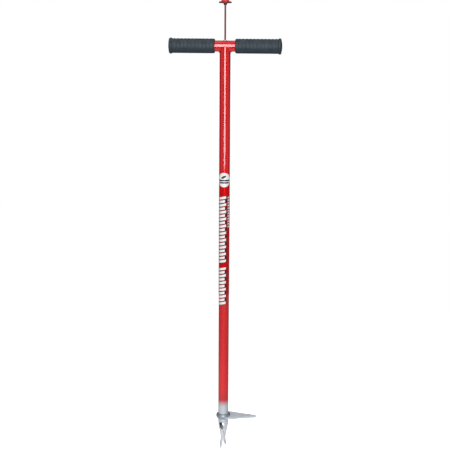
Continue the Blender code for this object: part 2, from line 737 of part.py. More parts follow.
def ejector_knob():
    """Mushroom knob: dome, round-edged brim, short neck, and an inner pocket for the brass insert."""
    bore_r = ROD_R + GAP
    brim_top = KNOB_BRIM_Z + KNOB_BRIM
    dome_height = KNOB_TOP_Z - brim_top
    edge = KNOB_BRIM / 2
    dome = [(KNOB_DOME_R * math.sin(a), brim_top + dome_height * math.cos(a))
            for a in map(math.radians, range(0, 90, KNOB_CROWN_STEP))]
    profile = dome + [(KNOB_DOME_R + KNOB_FILLET_R, brim_top + KNOB_FILLET_HEIGHT)]
    profile += arc(KNOB_BRIM_R - edge, KNOB_BRIM_Z + edge, edge, 80, -90, 5)
    profile += [(KNOB_NECK_R + KNOB_NECK_FLARE, KNOB_BRIM_Z - KNOB_NECK_FLARE_DROP)]
    profile += [(KNOB_NECK_R, KNOB_BOTTOM_Z + KNOB_NECK_ROUND), (KNOB_NECK_END_R, KNOB_BOTTOM_Z)]
    profile += [(bore_r, KNOB_BOTTOM_Z), (bore_r, INSERT_BOTTOM_Z - GAP)]
    pocket_top = INSERT_TOP_Z + GAP
    profile += [(INSERT_R + GAP, INSERT_BOTTOM_Z - GAP), (INSERT_R + GAP, pocket_top), (0, pocket_top)]
    turned("ejector_knob", profile, red_plastic(), MEDIUM_STEPS)


def knob_insert():
    ring("knob_insert", INSERT_R, ROD_R + GAP, INSERT_BOTTOM_Z, INSERT_TOP_Z, turned_brass(), SMALL_STEPS)


# ---------------------------------------------------------------- assembly

def build():
    clear_scene()
    collection(PARTS_COLLECTION)
    shaft_tube()
    handle_tube()
    handle_weld()
    for name, side in (("left", -1), ("right", 1)):
        grip("grip_" + name, side)
        end_plug("end_plug_" + name, side)
    top_bush()
    step_plate()
    step_weld("step_weld_upper", STEP_Z + STEP_HALF_THICKNESS - WELD_LAND_DEPTH + GAP, STEP_WELD_UPPER_HEIGHT)
    step_weld("step_weld_lower", STEP_Z - STEP_HALF_THICKNESS - GAP, -STEP_WELD_LOWER_HEIGHT)
    claw_head()
    head_weld()
    backing_sleeve()
    rod_guide()
    spring_washer()
    return_spring()
    spring_seat()
    seat_clip()
    ejector_rod()
    ejector_foot()
    foot_pin()
    rod_disc("rod_disc_lower", DISC_LOWER_Z)
    rod_disc("rod_disc_upper", DISC_UPPER_Z)
    ejector_knob()
    knob_insert()


build()
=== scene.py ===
"""The looks of the stand up weeder: fine meshes, materials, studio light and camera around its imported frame.

Everything is in metres in the frame's own axes: Z up the shaft, X along the step plate and the right grip.
"""

import math

import bmesh
import bpy
from mathutils import Matrix, Vector

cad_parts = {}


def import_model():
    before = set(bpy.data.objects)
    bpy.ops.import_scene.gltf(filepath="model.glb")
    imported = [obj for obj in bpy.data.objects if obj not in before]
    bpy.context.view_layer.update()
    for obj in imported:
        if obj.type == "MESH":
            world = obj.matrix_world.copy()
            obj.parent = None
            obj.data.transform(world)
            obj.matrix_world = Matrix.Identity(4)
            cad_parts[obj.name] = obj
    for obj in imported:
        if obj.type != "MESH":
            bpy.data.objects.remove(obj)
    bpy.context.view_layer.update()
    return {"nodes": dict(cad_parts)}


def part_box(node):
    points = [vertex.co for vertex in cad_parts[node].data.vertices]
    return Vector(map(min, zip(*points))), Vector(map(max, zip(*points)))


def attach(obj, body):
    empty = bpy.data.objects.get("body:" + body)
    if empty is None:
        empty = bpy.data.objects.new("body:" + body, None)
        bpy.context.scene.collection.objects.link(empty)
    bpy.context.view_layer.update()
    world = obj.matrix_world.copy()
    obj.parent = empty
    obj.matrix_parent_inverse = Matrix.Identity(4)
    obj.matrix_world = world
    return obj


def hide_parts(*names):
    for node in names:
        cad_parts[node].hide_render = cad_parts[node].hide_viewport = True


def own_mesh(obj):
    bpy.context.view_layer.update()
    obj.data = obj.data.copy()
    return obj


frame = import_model()

MM = 0.001
TOUCH = 1e-7


def middle(node):
    low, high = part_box(node)
    return (low + high) / 2


def reach(node):
    """Largest distance of a node from the middle of its box, along X, Y and Z."""
    low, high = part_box(node)
    return (high - low) / 2


# ---- sizes, from the frame's nodes

GAP = 0.3 * MM
TUBE_R = reach("shaft_tube").x
TUBE_WALL = 1.6 * MM
TUBE_BORE_R = TUBE_R - TUBE_WALL
SHAFT_BOTTOM_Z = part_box("shaft_tube")[0].z
HANDLE_Z = middle("handle_tube").z
HANDLE_HALF = reach("handle_tube").x
HANDLE_TOP_Z = HANDLE_Z + TUBE_R
ROUND_STEPS = 128
MEDIUM_STEPS = 64
SMALL_STEPS = 40

BUSH_HOLE_R = 3.5 * MM
ROD_PASS_R = 4 * MM

WELD_SIDE_LEG = 4 * MM
WELD_FRONT_LEG = 0.9 * MM
WELD_SIDE_FILL = 0.5 * MM
WELD_FRONT_FILL = 0.8 * MM
WELD_RIPPLE = 0.12 * MM
WELD_ROOT = 0.1 * MM
WELD_SECTIONS = 240
WELD_ARC_POINTS = 8
HANDLE_WELD_SCALES = 46

GRIP_INNER_X, GRIP_OUTER_X = (corner.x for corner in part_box("grip_right"))
GRIP_FLANGE_R = reach("grip_right").z
GRIP_R = GRIP_FLANGE_R - 1.2 * MM
GRIP_FLANGE_WIDTH = 4.6 * MM
GRIP_FLANGE_ROUND = 1.2 * MM
GRIP_FLANGE_SLOPE = 2 * MM
GRIP_END_ROUND = 3.5 * MM
GRIP_RIBS = 11
GRIP_RIB_PITCH = 8.5 * MM
GRIP_GROOVE_DEPTH = 0.65 * MM
GRIP_ROWS_PER_MM = 2
# Where the ribs fade out, and the moulded ridge, in degrees from the grip's top
RIB_FADE_START = 86
RIB_FADE_END = 108
RIDGE_TURN = 134
RIDGE_WIDTH = 3.5
RIDGE_HEIGHT = 0.35 * MM

PLUG_R = reach("end_plug_right").z
PLUG_FACE_X = GRIP_OUTER_X + GAP
PLUG_END_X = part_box("end_plug_right")[1].x
PLUG_STEM_LENGTH = 15 * MM
PLUG_WALL = 2.6 * MM

STEP_LOW, STEP_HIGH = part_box("step_plate")
STEP_Z = (STEP_LOW.z + STEP_HIGH.z) / 2
STEP_EYE_R = -STEP_LOW.x
STEP_EDGE_ROUND = 0.9 * MM
# Half of the plate's outline in millimetres, from its tip to the start of the eye
STEP_OUTLINE_MM = [(82, 0), (81.2, 2.2), (67, 7.4), (42, 13.6), (19, 20.58), (11, 20.88), (5, 17.2)]
STEP_WELD_R = reach("step_weld_upper").x
STEP_WELD_TOP_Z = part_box("step_weld_upper")[1].z
STEP_WELD_BOTTOM_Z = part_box("step_weld_lower")[0].z
STEP_WELD_SCALES = 30

HEAD_R = 12.5 * MM
HEAD_WALL = 1.6 * MM
HEAD_TOP_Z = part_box("claw_head")[1].z
HEAD_WELD_R = reach("head_weld").x
HEAD_WELD_HALF = reach("head_weld").z
HEAD_WELD_SCALES = 40
WINDOW_TOP_Z = 69.9 * MM
WINDOW_BOTTOM_Z = 55.4 * MM
SLIT_TOP_Z = 49.6 * MM
WAIST_TOP_Z = 25 * MM
WAIST_BOTTOM_Z = 22 * MM
SHOULDER_Z = 69 * MM
WAIST_R = 6.3 * MM
TIP_R = 12.9 * MM
FLARE_POWER = 1.3
CLAW_ROOT_ANGLE = math.radians(71.5)
NECK_TWIST = math.radians(42)
NECK_TWIST_TOP_Z = 55 * MM
NECK_TWIST_HEIGHT = 17 * MM
POINT_TWIST = math.radians(39.5)
POINT_TWIST_TOP_Z = 24 * MM
POINT_TWIST_HEIGHT = 21 * MM
ROOT_HALF_ANGLE = math.radians(52.5)
WAIST_HALF_ANGLE = math.radians(87)
TIP_HALF_WIDTH = 1.9 * MM
TAPER_START_Z = 16.5 * MM
TAPER_POWER = 2
POINT_HEIGHT = 3 * MM
POINT_SHARE = 0.5
TIP_LIFT = 0.6 * MM
CLAW_COLUMNS = 24
WINDOW_COLUMNS = 18
COLLAR_ROWS = 8
CLAW_ROWS = 110
CLAW_EDGE_ROUND = 0.3 * MM

KNOB_BRIM_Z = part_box("ejector_knob")[1].z - 11.1 * MM
KNOB_BRIM = 4.2 * MM
ROD_R = 2 * MM
ROD_BORE_R = ROD_R + GAP
SPRING_LOW, SPRING_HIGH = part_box("return_spring")
SPRING_WIRE_R = 0.6 * MM
SPRING_MEAN_R = reach("return_spring").y - SPRING_WIRE_R
SPRING_TURNS = 12
SPRING_END_PITCH = 1.5 * MM

FADE_BOTTOM_Z = 112 * MM
FADE_TOP_Z = 128 * MM
# Share of the painted light on the head, lighter towards the claws' tips
TIP_LIGHT_SHARE = 0.6

# The label: left and right are lengths round the shaft from its front, to the right towards +X
LABEL_LIFT = 0.06 * MM
LABEL_FILM = 0.08 * MM
LABEL_SLANT = 0.22
BAR_GROUPS = ((374 * MM, 11), (479 * MM, 19))
BAR_PITCH = 8.6 * MM
BAR_HEIGHT = 5.6 * MM
BAR_LEFT = -13.5 * MM
BAR_RIGHT = 5.6 * MM
BAR_SHORTER = 3 * MM
DASHES = 12
DASHES_LOW_Z = 567 * MM
DASH_PITCH = 6.4 * MM
DASH_HEIGHT = 3.6 * MM
DASH_LEFT = 10 * MM
DASH_RIGHT = 13.8 * MM
ROUNDEL_Z = 682 * MM
ROUNDEL_R = 17.1 * MM


# ---- material helpers

def start_look(name):
    """A new Principled material: the material, its node tree and its shader."""
    look = bpy.data.materials.new(name)
    look.use_nodes = True
    return look, look.node_tree, look.node_tree.nodes["Principled BSDF"]


def add_node(tree, kind, settings=None, inputs=None):
    """A shader node with its settings and inputs; an input is a value or another node's output."""
    node = tree.nodes.new(kind)
    for key, value in (settings or {}).items():
        setattr(node, key, value)
    for key, value in (inputs or {}).items():
        if isinstance(value, bpy.types.NodeSocket):
            tree.links.new(value, node.inputs[key])
        else:
            node.inputs[key].default_value = value
    return node


def set_inputs(shader, **values):
    """Constant values on a shader's own sockets; a name's underscores stand for spaces."""
    for key, value in values.items():
        shader.inputs[key.replace("_", " ")].default_value = value


def feed(output, shader, name):
    output.id_data.links.new(output, shader.inputs[name])


def own_place(tree):
    """The piece's own coordinates, in metres."""
    return add_node(tree, "ShaderNodeTexCoord").outputs["Object"]


def own_axes(tree):
    return add_node(tree, "ShaderNodeSeparateXYZ", inputs={"Vector": own_place(tree)}).outputs


def grain(tree, scale, detail=3, roughness=0.55, stretch=(1, 1, 1)):
    """Noise from 0 to 1; scale is about how many grains there are in a metre, stretched along the axes."""
    placed = add_node(tree, "ShaderNodeMapping", inputs={"Vector": own_place(tree), "Scale": stretch})
    wanted = {"Vector": placed.outputs[0], "Scale": scale, "Detail": detail, "Roughness": roughness}
    return add_node(tree, "ShaderNodeTexNoise", inputs=wanted).outputs[0]


def patches(tree, scale, detail=3):
    """Noise drawn out to full contrast, so that it runs over the whole of 0 to 1."""
    return spread(grain(tree, scale, detail), 0, 1, 0.3, 0.7)


def spread(value, low, high, start=0.0, end=1.0):
    """Map an output from start..end onto low..high, held at both ends."""
    wanted = {"Value": value, "From Min": start, "From Max": end, "To Min": low, "To Max": high}
    return add_node(value.id_data, "ShaderNodeMapRange", inputs=wanted).outputs[0]


def combine(operation, first, second):
    """A maths operation on an output and a second output or a number."""
    wanted = {0: first, 1: second}
    return add_node(first.id_data, "ShaderNodeMath", {"operation": operation}, wanted).outputs[0]


def combine_vectors(operation, *vectors, output="Value"):
    """A vector operation on outputs or constant vectors, the first of them an output."""
    wanted = dict(enumerate(vectors))
    node = add_node(vectors[0].id_data, "ShaderNodeVectorMath", {"operation": operation}, wanted)
    return node.outputs[output]


def as_color(value):
    return value if isinstance(value, bpy.types.NodeSocket) else (*value, 1)


def between(factor, first, second):
    """Colour that runs from first to second as factor, an output, goes from 0 to 1."""
    wanted = {0: factor, 6: as_color(first), 7: as_color(second)}
    return add_node(factor.id_data, "ShaderNodeMix", {"data_type": "RGBA"}, wanted).outputs[2]


def relief(shader, height, depth, coat=False):
    """Bump the surface by height, a 0 to 1 pattern, times depth in metres."""
    wanted = {"Height": height, "Distance": depth, "Strength": 1}
    node = add_node(height.id_data, "ShaderNodeBump", inputs=wanted)
    feed(node.outputs[0], shader, "Normal")
    if coat:
        feed(node.outputs[0], shader, "Coat Normal")


# ---- materials

def silver_color(tree):
    """Aluminium paint: fine flake over a slow change of shade."""
    flake = spread(grain(tree, 2600, 1), 0, 1, 0.35, 0.65)
    cloud = patches(tree, 45)
    fine = between(flake, (0.485, 0.53, 0.58), (0.635, 0.68, 0.735))
    return between(combine("MULTIPLY", cloud, 0.35), fine, (0.54, 0.585, 0.64))


def red_paint(tree, shader):
    """Gloss red enamel, darker just above the shaft's foot, where it goes over into aluminium paint."""
    height = own_axes(tree)["Z"]
    drift = spread(grain(tree, 60, 2), -2 * MM, 2 * MM)
    mist = spread(grain(tree, 2200, 2, 0.7), -5 * MM, 5 * MM, 0.25, 0.75)
    edge = combine("ADD", combine("ADD", height, drift), mist)
    silver = spread(edge, 1, 0, FADE_BOTTOM_Z, FADE_TOP_Z)
    cloud = patches(tree, 25)
    red = between(cloud, (0.72, 0.0030, 0.0055), (0.78, 0.0042, 0.0075))
    # Darker band of the red just above the fade into aluminium paint.
    darker_band = spread(height, 0.35, 0, FADE_TOP_Z + 8 * MM, FADE_TOP_Z + 30 * MM)
    coated = between(darker_band, red, (0.30, 0.003, 0.006))
    feed(between(silver, coated, silver_color(tree)), shader, "Base Color")
    smear = spread(grain(tree, 90, 4), -0.04, 0.04)
    feed(combine("ADD", spread(silver, 0.16, 0.4), smear), shader, "Roughness")
    set_inputs(shader, Metallic=0.35, Specular_IOR_Level=0)
    set_inputs(shader, Coat_Weight=1, Coat_Roughness=0.06, Coat_IOR=1.7)
    relief(shader, grain(tree, 260, 2), 0.004 * MM, coat=True)


def outward(tree):
    """The way straight out from the shaft's axis to the surface, as long as its distance."""
    axes = own_axes(tree)
    return add_node(tree, "ShaderNodeCombineXYZ", inputs={"X": axes["X"], "Y": axes["Y"]}).outputs[0]


def faces_inward(tree):
    """0 to 1 where a surface is turned towards the shaft's axis, more so the higher it is in the head; the
    mask of the painted shade inside the head.
    """
    facing = add_node(tree, "ShaderNodeTexCoord").outputs["Normal"]
    away = combine_vectors("NORMALIZE", outward(tree), output="Vector")
    inward = spread(combine_vectors("DOT_PRODUCT", away, facing), 1, 0, -0.75, -0.35)
    height = own_axes(tree)["Z"]
    low = spread(height, 0, 0.42, 18 * MM, 34 * MM)
    high = spread(height, 0, 0.58, 50 * MM, 56 * MM)
    return combine("MULTIPLY", inward, combine("ADD", low, high))


def on_step_weld(tree):
    """0 to 1 on the bead round the shaft at the step plate."""
    edge = 0.4 * MM
    near = spread(combine_vectors("LENGTH", outward(tree)), 1, 0, STEP_WELD_R, STEP_WELD_R + edge)
    above = spread(own_axes(tree)["Z"], 0, 1, STEP_WELD_BOTTOM_Z - 2 * edge, STEP_WELD_BOTTOM_Z - edge)
    return combine("MULTIPLY", near, above)


def silver_shades(tree, bead, rubbed, painted_corner_shade):
    """Colour of the aluminium paint: painted light towards the claws' tips, bare where it is rubbed."""
    # Painted light: the paint is made lighter towards the claws' tips.
    painted_light_low = combine("MULTIPLY", spread(own_axes(tree)["Z"], 1, 0, 46 * MM, 74 * MM), TIP_LIGHT_SHARE)
    surface = between(painted_light_low, silver_color(tree), (0.80, 0.82, 0.85))
    welded = between(combine("MULTIPLY", bead, 0.8), surface, (0.30, 0.33, 0.37))
    painted = between(rubbed, welded, (0.36, 0.37, 0.39))
    # Painted shade: darker in concave corners, by low pointiness.
    corner_shaded = between(painted_corner_shade, painted, (0.16, 0.19, 0.21))
    # Painted shade: inward faces of the head made dark, darkest high up.
    painted_inner_shade = combine("MULTIPLY", faces_inward(tree), spread(grain(tree, 260, 4), 0.75, 1, 0.3, 0.7))
    return between(painted_inner_shade, corner_shaded, (0.012, 0.022, 0.028))


def silver_paint(tree, shader):
    """Aluminium paint over forged and welded steel, with painted shade in its corners and inside the head."""
    pointed = add_node(tree, "ShaderNodeNewGeometry").outputs["Pointiness"]
    patchy = spread(grain(tree, 420, 4, 0.65), 0, 0.7, 0.42, 0.6)
    rubbed = combine("MULTIPLY", spread(pointed, 0, 1, 0.54, 0.62), patchy)
    # Painted shade in concave corners: low pointiness, broken up by noise.
    corner_shade_breakup = spread(grain(tree, 300, 4), 0.3, 0.8, 0.3, 0.7)
    painted_corner_shade = combine("MULTIPLY", spread(pointed, 1, 0, 0.40, 0.48), corner_shade_breakup)
    bead = on_step_weld(tree)
    feed(silver_shades(tree, bead, rubbed, painted_corner_shade), shader, "Base Color")
    metal = combine("MAXIMUM", spread(rubbed, 0.4, 0.8), combine("MULTIPLY", bead, 0.7))
    feed(metal, shader, "Metallic")
    cloud = spread(grain(tree, 130, 4), 0.34, 0.48, 0.3, 0.7)
    smooth = combine("SUBTRACT", cloud, combine("MULTIPLY", rubbed, 0.12))
    feed(combine("ADD", smooth, combine("MULTIPLY", bead, 0.08)), shader, "Roughness")
    set_inputs(shader, Coat_Weight=0.25, Coat_Roughness=0.2)
    fine = combine("MULTIPLY", grain(tree, 1900, 2), 0.35)
    relief(shader, combine("ADD", grain(tree, 330, 4, 0.6), fine), 0.05 * MM)


def bare_steel(tree, shader):
    """Zinc plated steel with turning marks."""
    lines = grain(tree, 300, 3, 0.6, (1, 1, 14))
    cloud = patches(tree, 180)
    feed(between(cloud, (0.55, 0.56, 0.57), (0.66, 0.67, 0.70)), shader, "Base Color")
    feed(spread(lines, 0.22, 0.42), shader, "Roughness")
    set_inputs(shader, Metallic=1)
    relief(shader, lines, 0.02 * MM)


def spring_steel(tree, shader):
    """Oiled spring wire with drawing marks."""
    cloud = patches(tree, 500, 4)
    feed(between(cloud, (0.22, 0.23, 0.25), (0.36, 0.36, 0.37)), shader, "Base Color")
    feed(spread(grain(tree, 900, 2), 0.25, 0.45), shader, "Roughness")
    set_inputs(shader, Metallic=1)
    relief(shader, grain(tree, 2400, 2), 0.01 * MM)


def grip_rubber(tree, shader):
    """Dark blue grey rubber: fine moulded grain, a dull bloom, and a painted lighter top where light falls
    from above.
    """
    bloom = spread(grain(tree, 70, 4, 0.6), 0, 1, 0.35, 0.7)
    speck = spread(grain(tree, 1700, 2), 0, 0.4, 0.3, 0.7)
    body = between(bloom, (0.022, 0.035, 0.048), (0.034, 0.051, 0.066))
    speckled = between(speck, body, (0.016, 0.024, 0.032))
    facing = add_node(tree, "ShaderNodeTexCoord").outputs["Normal"]
    upward = add_node(tree, "ShaderNodeSeparateXYZ", inputs={"Vector": facing}).outputs["Z"]
    # Painted light: upward faces of the grips made lighter.
    painted_top_light = combine("MULTIPLY", spread(upward, 0, 0.6, -0.3, 0.95), bloom)
    feed(between(painted_top_light, speckled, (0.075, 0.095, 0.115)), shader, "Base Color")
    feed(spread(grain(tree, 140, 3), 0.46, 0.64, 0.3, 0.7), shader, "Roughness")
    set_inputs(shader, Specular_IOR_Level=0.3)
    relief(shader, grain(tree, 1100, 3, 0.6), 0.09 * MM)


def black_plastic(tree, shader):
    """Satin moulded plastic with a spark-eroded grain."""
    cloud = patches(tree, 200)
    feed(between(cloud, (0.010, 0.011, 0.013), (0.019, 0.020, 0.023)), shader, "Base Color")
    feed(spread(grain(tree, 380, 3), 0.36, 0.52), shader, "Roughness")
    relief(shader, grain(tree, 1500, 3, 0.65), 0.05 * MM)


def white_nylon(tree, shader):
    """Natural nylon: milky, slightly warm, faintly mottled."""
    cloud = patches(tree, 260)
    feed(between(cloud, (0.74, 0.72, 0.66), (0.82, 0.81, 0.76)), shader, "Base Color")
    feed(spread(grain(tree, 420, 2), 0.32, 0.46), shader, "Roughness")
    set_inputs(shader, Subsurface_Weight=0.2, Subsurface_Scale=0.002)
    relief(shader, grain(tree, 900, 3), 0.02 * MM)


def red_plastic(tree, shader):
    """Gloss red moulded plastic with faint flow marks; its brim and neck are painted darker as shade under the
    lit dome.
    """
    height = own_axes(tree)["Z"]
    flow = spread(grain(tree, 120, 3, 0.6, (1, 1, 0.4)), 0, 1, 0.3, 0.7)
    dome = between(flow, (0.66, 0.040, 0.055), (0.74, 0.055, 0.072))
    # Painted shade: the brim and neck darker than the lit dome.
    painted_shade_under = between(flow, (0.10, 0.002, 0.004), (0.14, 0.004, 0.007))
    edge_z = KNOB_BRIM_Z + KNOB_BRIM - 0.3 * MM
    side = spread(height, 0, 1, edge_z - 0.25 * MM, edge_z + 0.25 * MM)
    feed(between(side, painted_shade_under, dome), shader, "Base Color")
    feed(spread(grain(tree, 320, 3), 0.22, 0.34), shader, "Roughness")
    set_inputs(shader, Coat_Weight=0.35, Coat_Roughness=0.1)
    relief(shader, grain(tree, 700, 3), 0.02 * MM)


def red_lacquer(tree, shader):
    """Thin dark red lacquer on drawn steel rod, with lengthwise streaks where it has rubbed in its guides."""
    streak = spread(grain(tree, 900, 4, 0.65, (1, 1, 0.02)), 0, 0.4, 0.46, 0.7)
    cloud = patches(tree, 80)
    coat = between(cloud, (0.20, 0.015, 0.016), (0.25, 0.021, 0.022))
    feed(between(streak, coat, (0.25, 0.060, 0.057)), shader, "Base Color")
    feed(spread(streak, 0.25, 0.7, 0, 0.4), shader, "Metallic")
    feed(spread(grain(tree, 300, 3), 0.32, 0.46), shader, "Roughness")
    set_inputs(shader, Specular_IOR_Level=0.2)
    relief(shader, streak, 0.006 * MM)


def turned_brass(tree, shader):
    """Turned and knurled brass."""
    lines = grain(tree, 300, 3, 0.6, (1, 1, 14))
    feed(between(lines, (0.62, 0.42, 0.15), (0.76, 0.56, 0.24)), shader, "Base Color")
    feed(spread(lines, 0.22, 0.4), shader, "Roughness")
    set_inputs(shader, Metallic=1)
    relief(shader, lines, 0.02 * MM)


def label_film(tree, shader, dark, light):
    """Printed vinyl film: slightly uneven ink under a satin face."""
    feed(between(patches(tree, 700), dark, light), shader, "Base Color")
    feed(spread(grain(tree, 150, 3), 0.22, 0.34), shader, "Roughness")
    relief(shader, grain(tree, 500, 2), 0.008 * MM)


def label_white(tree, shader):
    label_film(tree, shader, (0.80, 0.80, 0.81), (0.88, 0.88, 0.89))


def label_black(tree, shader):
    label_film(tree, shader, (0.008, 0.008, 0.010), (0.020, 0.020, 0.024))


def painted_look(paint):
    """The material that a function paints, under the function's own name."""
    look, tree, shader = start_look(paint.__name__)
    paint(tree, shader)
    return look


LOOKS = {paint.__name__: painted_look(paint) for paint in (
    red_paint, silver_paint, bare_steel, spring_steel, grip_rubber, black_plastic, white_nylon,
    red_plastic, red_lacquer, turned_brass, label_white, label_black)}


# ---- mesh helpers

def new_object(name, shape_or_curve):
    """An object in the scene that holds a bmesh, which is freed, or a curve."""
    data = shape_or_curve
    if isinstance(shape_or_curve, bmesh.types.BMesh):
        data = bpy.data.meshes.new(name)
        shape_or_curve.to_mesh(data)
        shape_or_curve.free()
    obj = bpy.data.objects.new(name, data)
    bpy.context.scene.collection.objects.link(obj)
    return obj


def add_piece(name, shape, look, body, nodes=(), sharp=35):
    """Turn a bmesh into a smooth shaded piece that rides on a body and stands for some CAD nodes."""
    bmesh.ops.recalc_face_normals(shape, faces=shape.faces)
    piece = new_object(name, shape)
    piece.data.materials.append(LOOKS[look])
    piece.data.shade_smooth()
    piece.data.set_sharp_from_angle(angle=math.radians(sharp))
    piece.modifiers.new("Normals", "WEIGHTED_NORMAL").keep_sharp = True
    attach(piece, body)
    if nodes:
        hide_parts(*nodes)
    return piece


def soften(profile, radius, closed=False, points=4):
    """Round each corner of a profile by a short curve that starts at most radius from the corner."""
    softened = []
    count = len(profile)
    for i, corner in enumerate(profile):
        here = Vector(corner)
        if not closed and i in (0, count - 1):
            softened.append(corner)
            continue
        before = Vector(profile[i - 1])
        after = Vector(profile[(i + 1) % count])
        start = here + (before - here) * min(radius / (before - here).length, 0.45)
        end = here + (after - here) * min(radius / (after - here).length, 0.45)
        for step in range(points):
            t = step / (points - 1)
            softened.append(tuple(start * (1 - t) ** 2 + here * (2 * t * (1 - t)) + end * t ** 2))
    return softened


def arc(center_r, center_z, radius, start, end, points):
    """Points of an arc in a profile; its start and end are degrees turned from +radius towards +height."""
    angles = [math.radians(start + (end - start) * i / (points - 1)) for i in range(points)]
    return [(center_r + radius * math.cos(a), center_z + radius * math.sin(a)) for a in angles]


def join_rings(shape, rings, closed):
    """Faces between each ring of vertices and the next; a ring of one vertex is a point."""
    steps = max(len(ring) for ring in rings)
    pairs = list(zip(rings, rings[1:]))
    if closed:
        pairs.append((rings[-1], rings[0]))
    for upper, lower in pairs:
        for i in range(steps):
            j = (i + 1) % steps
            above = (upper[j % len(upper)], upper[i % len(upper)])
            below = (lower[i % len(lower)], lower[j % len(lower)])
            shape.faces.new(tuple(dict.fromkeys(above + below)))


def lathe(profile, steps=MEDIUM_STEPS):
    """A profile of (radius, height) pairs turned about Z; one that ends off the axis closes on itself."""
    shape = bmesh.new()
    rings = []
    for radius, height in profile:
        if radius < TOUCH:
            rings.append([shape.verts.new((0, 0, height))])
            continue
        turns = [math.tau * i / steps for i in range(steps)]
        rings.append([shape.verts.new((radius * math.cos(a), radius * math.sin(a), height)) for a in turns])
    join_rings(shape, rings, len(rings[0]) > 1)
    return shape


def loft_round(sections):
    """Closed sections set round an axis, each joined to the next and the last to the first."""
    shape = bmesh.new()
    join_rings(shape, [[shape.verts.new(point) for point in section] for section in sections], True)
    return shape


def loft_turned(section_at, steps):
    """A body round Z; section_at gives its section at an angle as (radius, height) pairs."""
    sections = []
    for i in range(steps):
        turn = math.tau * i / steps
        sections.append([(r * math.cos(turn), r * math.sin(turn), z) for r, z in section_at(turn)])
    return loft_round(sections)


def lay_along_x(shape, side):
    """Turn a body's own +Z to point along +X, or -X for side -1, and lift it to the handle's axis."""
    turn = Matrix.Rotation(side * math.pi / 2, 4, "Y")
    bmesh.ops.transform(shape, matrix=Matrix.Translation((0, 0, HANDLE_Z)) @ turn, verts=shape.verts)
    return shape


def shape_of(obj):
    """The evaluated mesh of a helper object as a bmesh; the helper is removed."""
    evaluated = obj.evaluated_get(bpy.context.evaluated_depsgraph_get())
    shape = bmesh.new()
    shape.from_mesh(evaluated.to_mesh())
    bmesh.ops.transform(shape, matrix=obj.matrix_world, verts=shape.verts)
    evaluated.to_mesh_clear()
    bpy.data.objects.remove(obj, do_unlink=True)
    return shape


def drilled(shape, holes):
    """The shape with round holes cut in it; holes are (radius, bottom z, top z) on the Z axis."""
    obj = new_object("drilled", shape)
    cutters = []
    for radius, bottom_z, top_z in holes:
        cutter = new_object("cutter", lathe([(0, top_z), (radius, top_z), (radius, bottom_z), (0, bottom_z)]))
        cut = obj.modifiers.new("Cut", "BOOLEAN")
        cut.operation = "DIFFERENCE"
        cut.solver = "EXACT"
        cut.object = cutter
        cutters.append(cutter)
    bpy.context.view_layer.update()
    result = shape_of(obj)
    for cutter in cutters:
        bpy.data.objects.remove(cutter, do_unlink=True)
    return result


# ---- tubes and handle

def shaft_section(turn):
    """The tube's wall at an angle: a chamfered foot, and a top coped to saddle the cross handle."""
    saddle_r = TUBE_R + GAP
    chamfer = 0.25 * MM
    section = [(TUBE_R - chamfer, SHAFT_BOTTOM_Z), (TUBE_R, SHAFT_BOTTOM_Z + chamfer)]
    for radius in (TUBE_R, TUBE_BORE_R):
        section.append((radius, HANDLE_Z - math.sqrt(saddle_r ** 2 - (radius * math.sin(turn)) ** 2)))
    return section + [(TUBE_BORE_R, SHAFT_BOTTOM_Z)]


def shaft():
    tube = loft_turned(shaft_section, ROUND_STEPS)
    add_piece("shaft_surface", tube, "red_paint", "frame", ["shaft_tube"])


def handle():
    """The cross tube, drilled for the bush at the top and for the rod at the bottom."""
    profile = [(TUBE_R, HANDLE_HALF), (TUBE_R, -HANDLE_HALF)]
    profile += [(TUBE_BORE_R, -HANDLE_HALF), (TUBE_BORE_R, HANDLE_HALF)]
    tube = lay_along_x(lathe(soften(profile, 0.3 * MM, closed=True), ROUND_STEPS), 1)
    past = 3 * MM
    bush_hole = (BUSH_HOLE_R, HANDLE_Z, HANDLE_TOP_Z + past)
    rod_hole = (ROD_PASS_R, HANDLE_Z - TUBE_R - past, HANDLE_Z - past)
    add_piece("handle_surface", drilled(tube, [bush_hole, rod_hole]), "red_paint", "frame", ["handle_tube"])


def handle_weld_section(turn):
    """One section of the weld: a fillet at the shaft's sides, a low rippled bead at its front and back."""
    side = abs(math.cos(turn))
    front = abs(math.sin(turn))
    x_sign = math.copysign(1, math.cos(turn))
    y_sign = math.copysign(1, math.sin(turn))
    radius = TUBE_R + GAP / 2
    leg = WELD_FRONT_LEG + (WELD_SIDE_LEG - WELD_FRONT_LEG) * side ** 1.5
    fill = WELD_SIDE_FILL + (WELD_FRONT_FILL - WELD_SIDE_FILL) * front ** 2
    fill += WELD_RIPPLE * abs(math.sin(turn * HANDLE_WELD_SCALES / 2))
    around = math.atan2(front, side) + leg * front / radius
    corner = Vector((radius * side, radius * front, HANDLE_Z - radius * side))
    on_shaft = Vector((radius * side, radius * front, HANDLE_Z - radius * side - leg))
    on_handle_z = HANDLE_Z - radius * math.cos(around)
    on_handle = Vector(((radius + leg) * side, radius * math.sin(around), on_handle_z))
    crown = corner + Vector((side, 2 * front, -side)).normalized() * fill
    section = [corner]
    for i in range(WELD_ARC_POINTS + 1):
        t = i / WELD_ARC_POINTS
        section.append(on_shaft * (1 - t) ** 2 + crown * (2 * t * (1 - t)) + on_handle * t ** 2)
    return [(p.x * x_sign, p.y * y_sign, p.z) for p in section]


def handle_weld():
    turns = [math.tau * (i + 0.5) / WELD_SECTIONS for i in range(WELD_SECTIONS)]
    bead = loft_round([handle_weld_section(turn) for turn in turns])
    add_piece("handle_weld_bead", bead, "red_paint", "frame", ["handle_weld"])


# ---- grips and their ends

def smoothstep(t):
    t = min(max(t, 0), 1)
    return t * t * (3 - 2 * t)


def grip_stations():
    """Distances from the handle's middle at which a grip's surface is set out, from its flange inwards."""
    count = round((GRIP_OUTER_X - GRIP_INNER_X) / MM * GRIP_ROWS_PER_MM)
    return [GRIP_OUTER_X - (GRIP_OUTER_X - GRIP_INNER_X) * i / count for i in range(count + 1)]


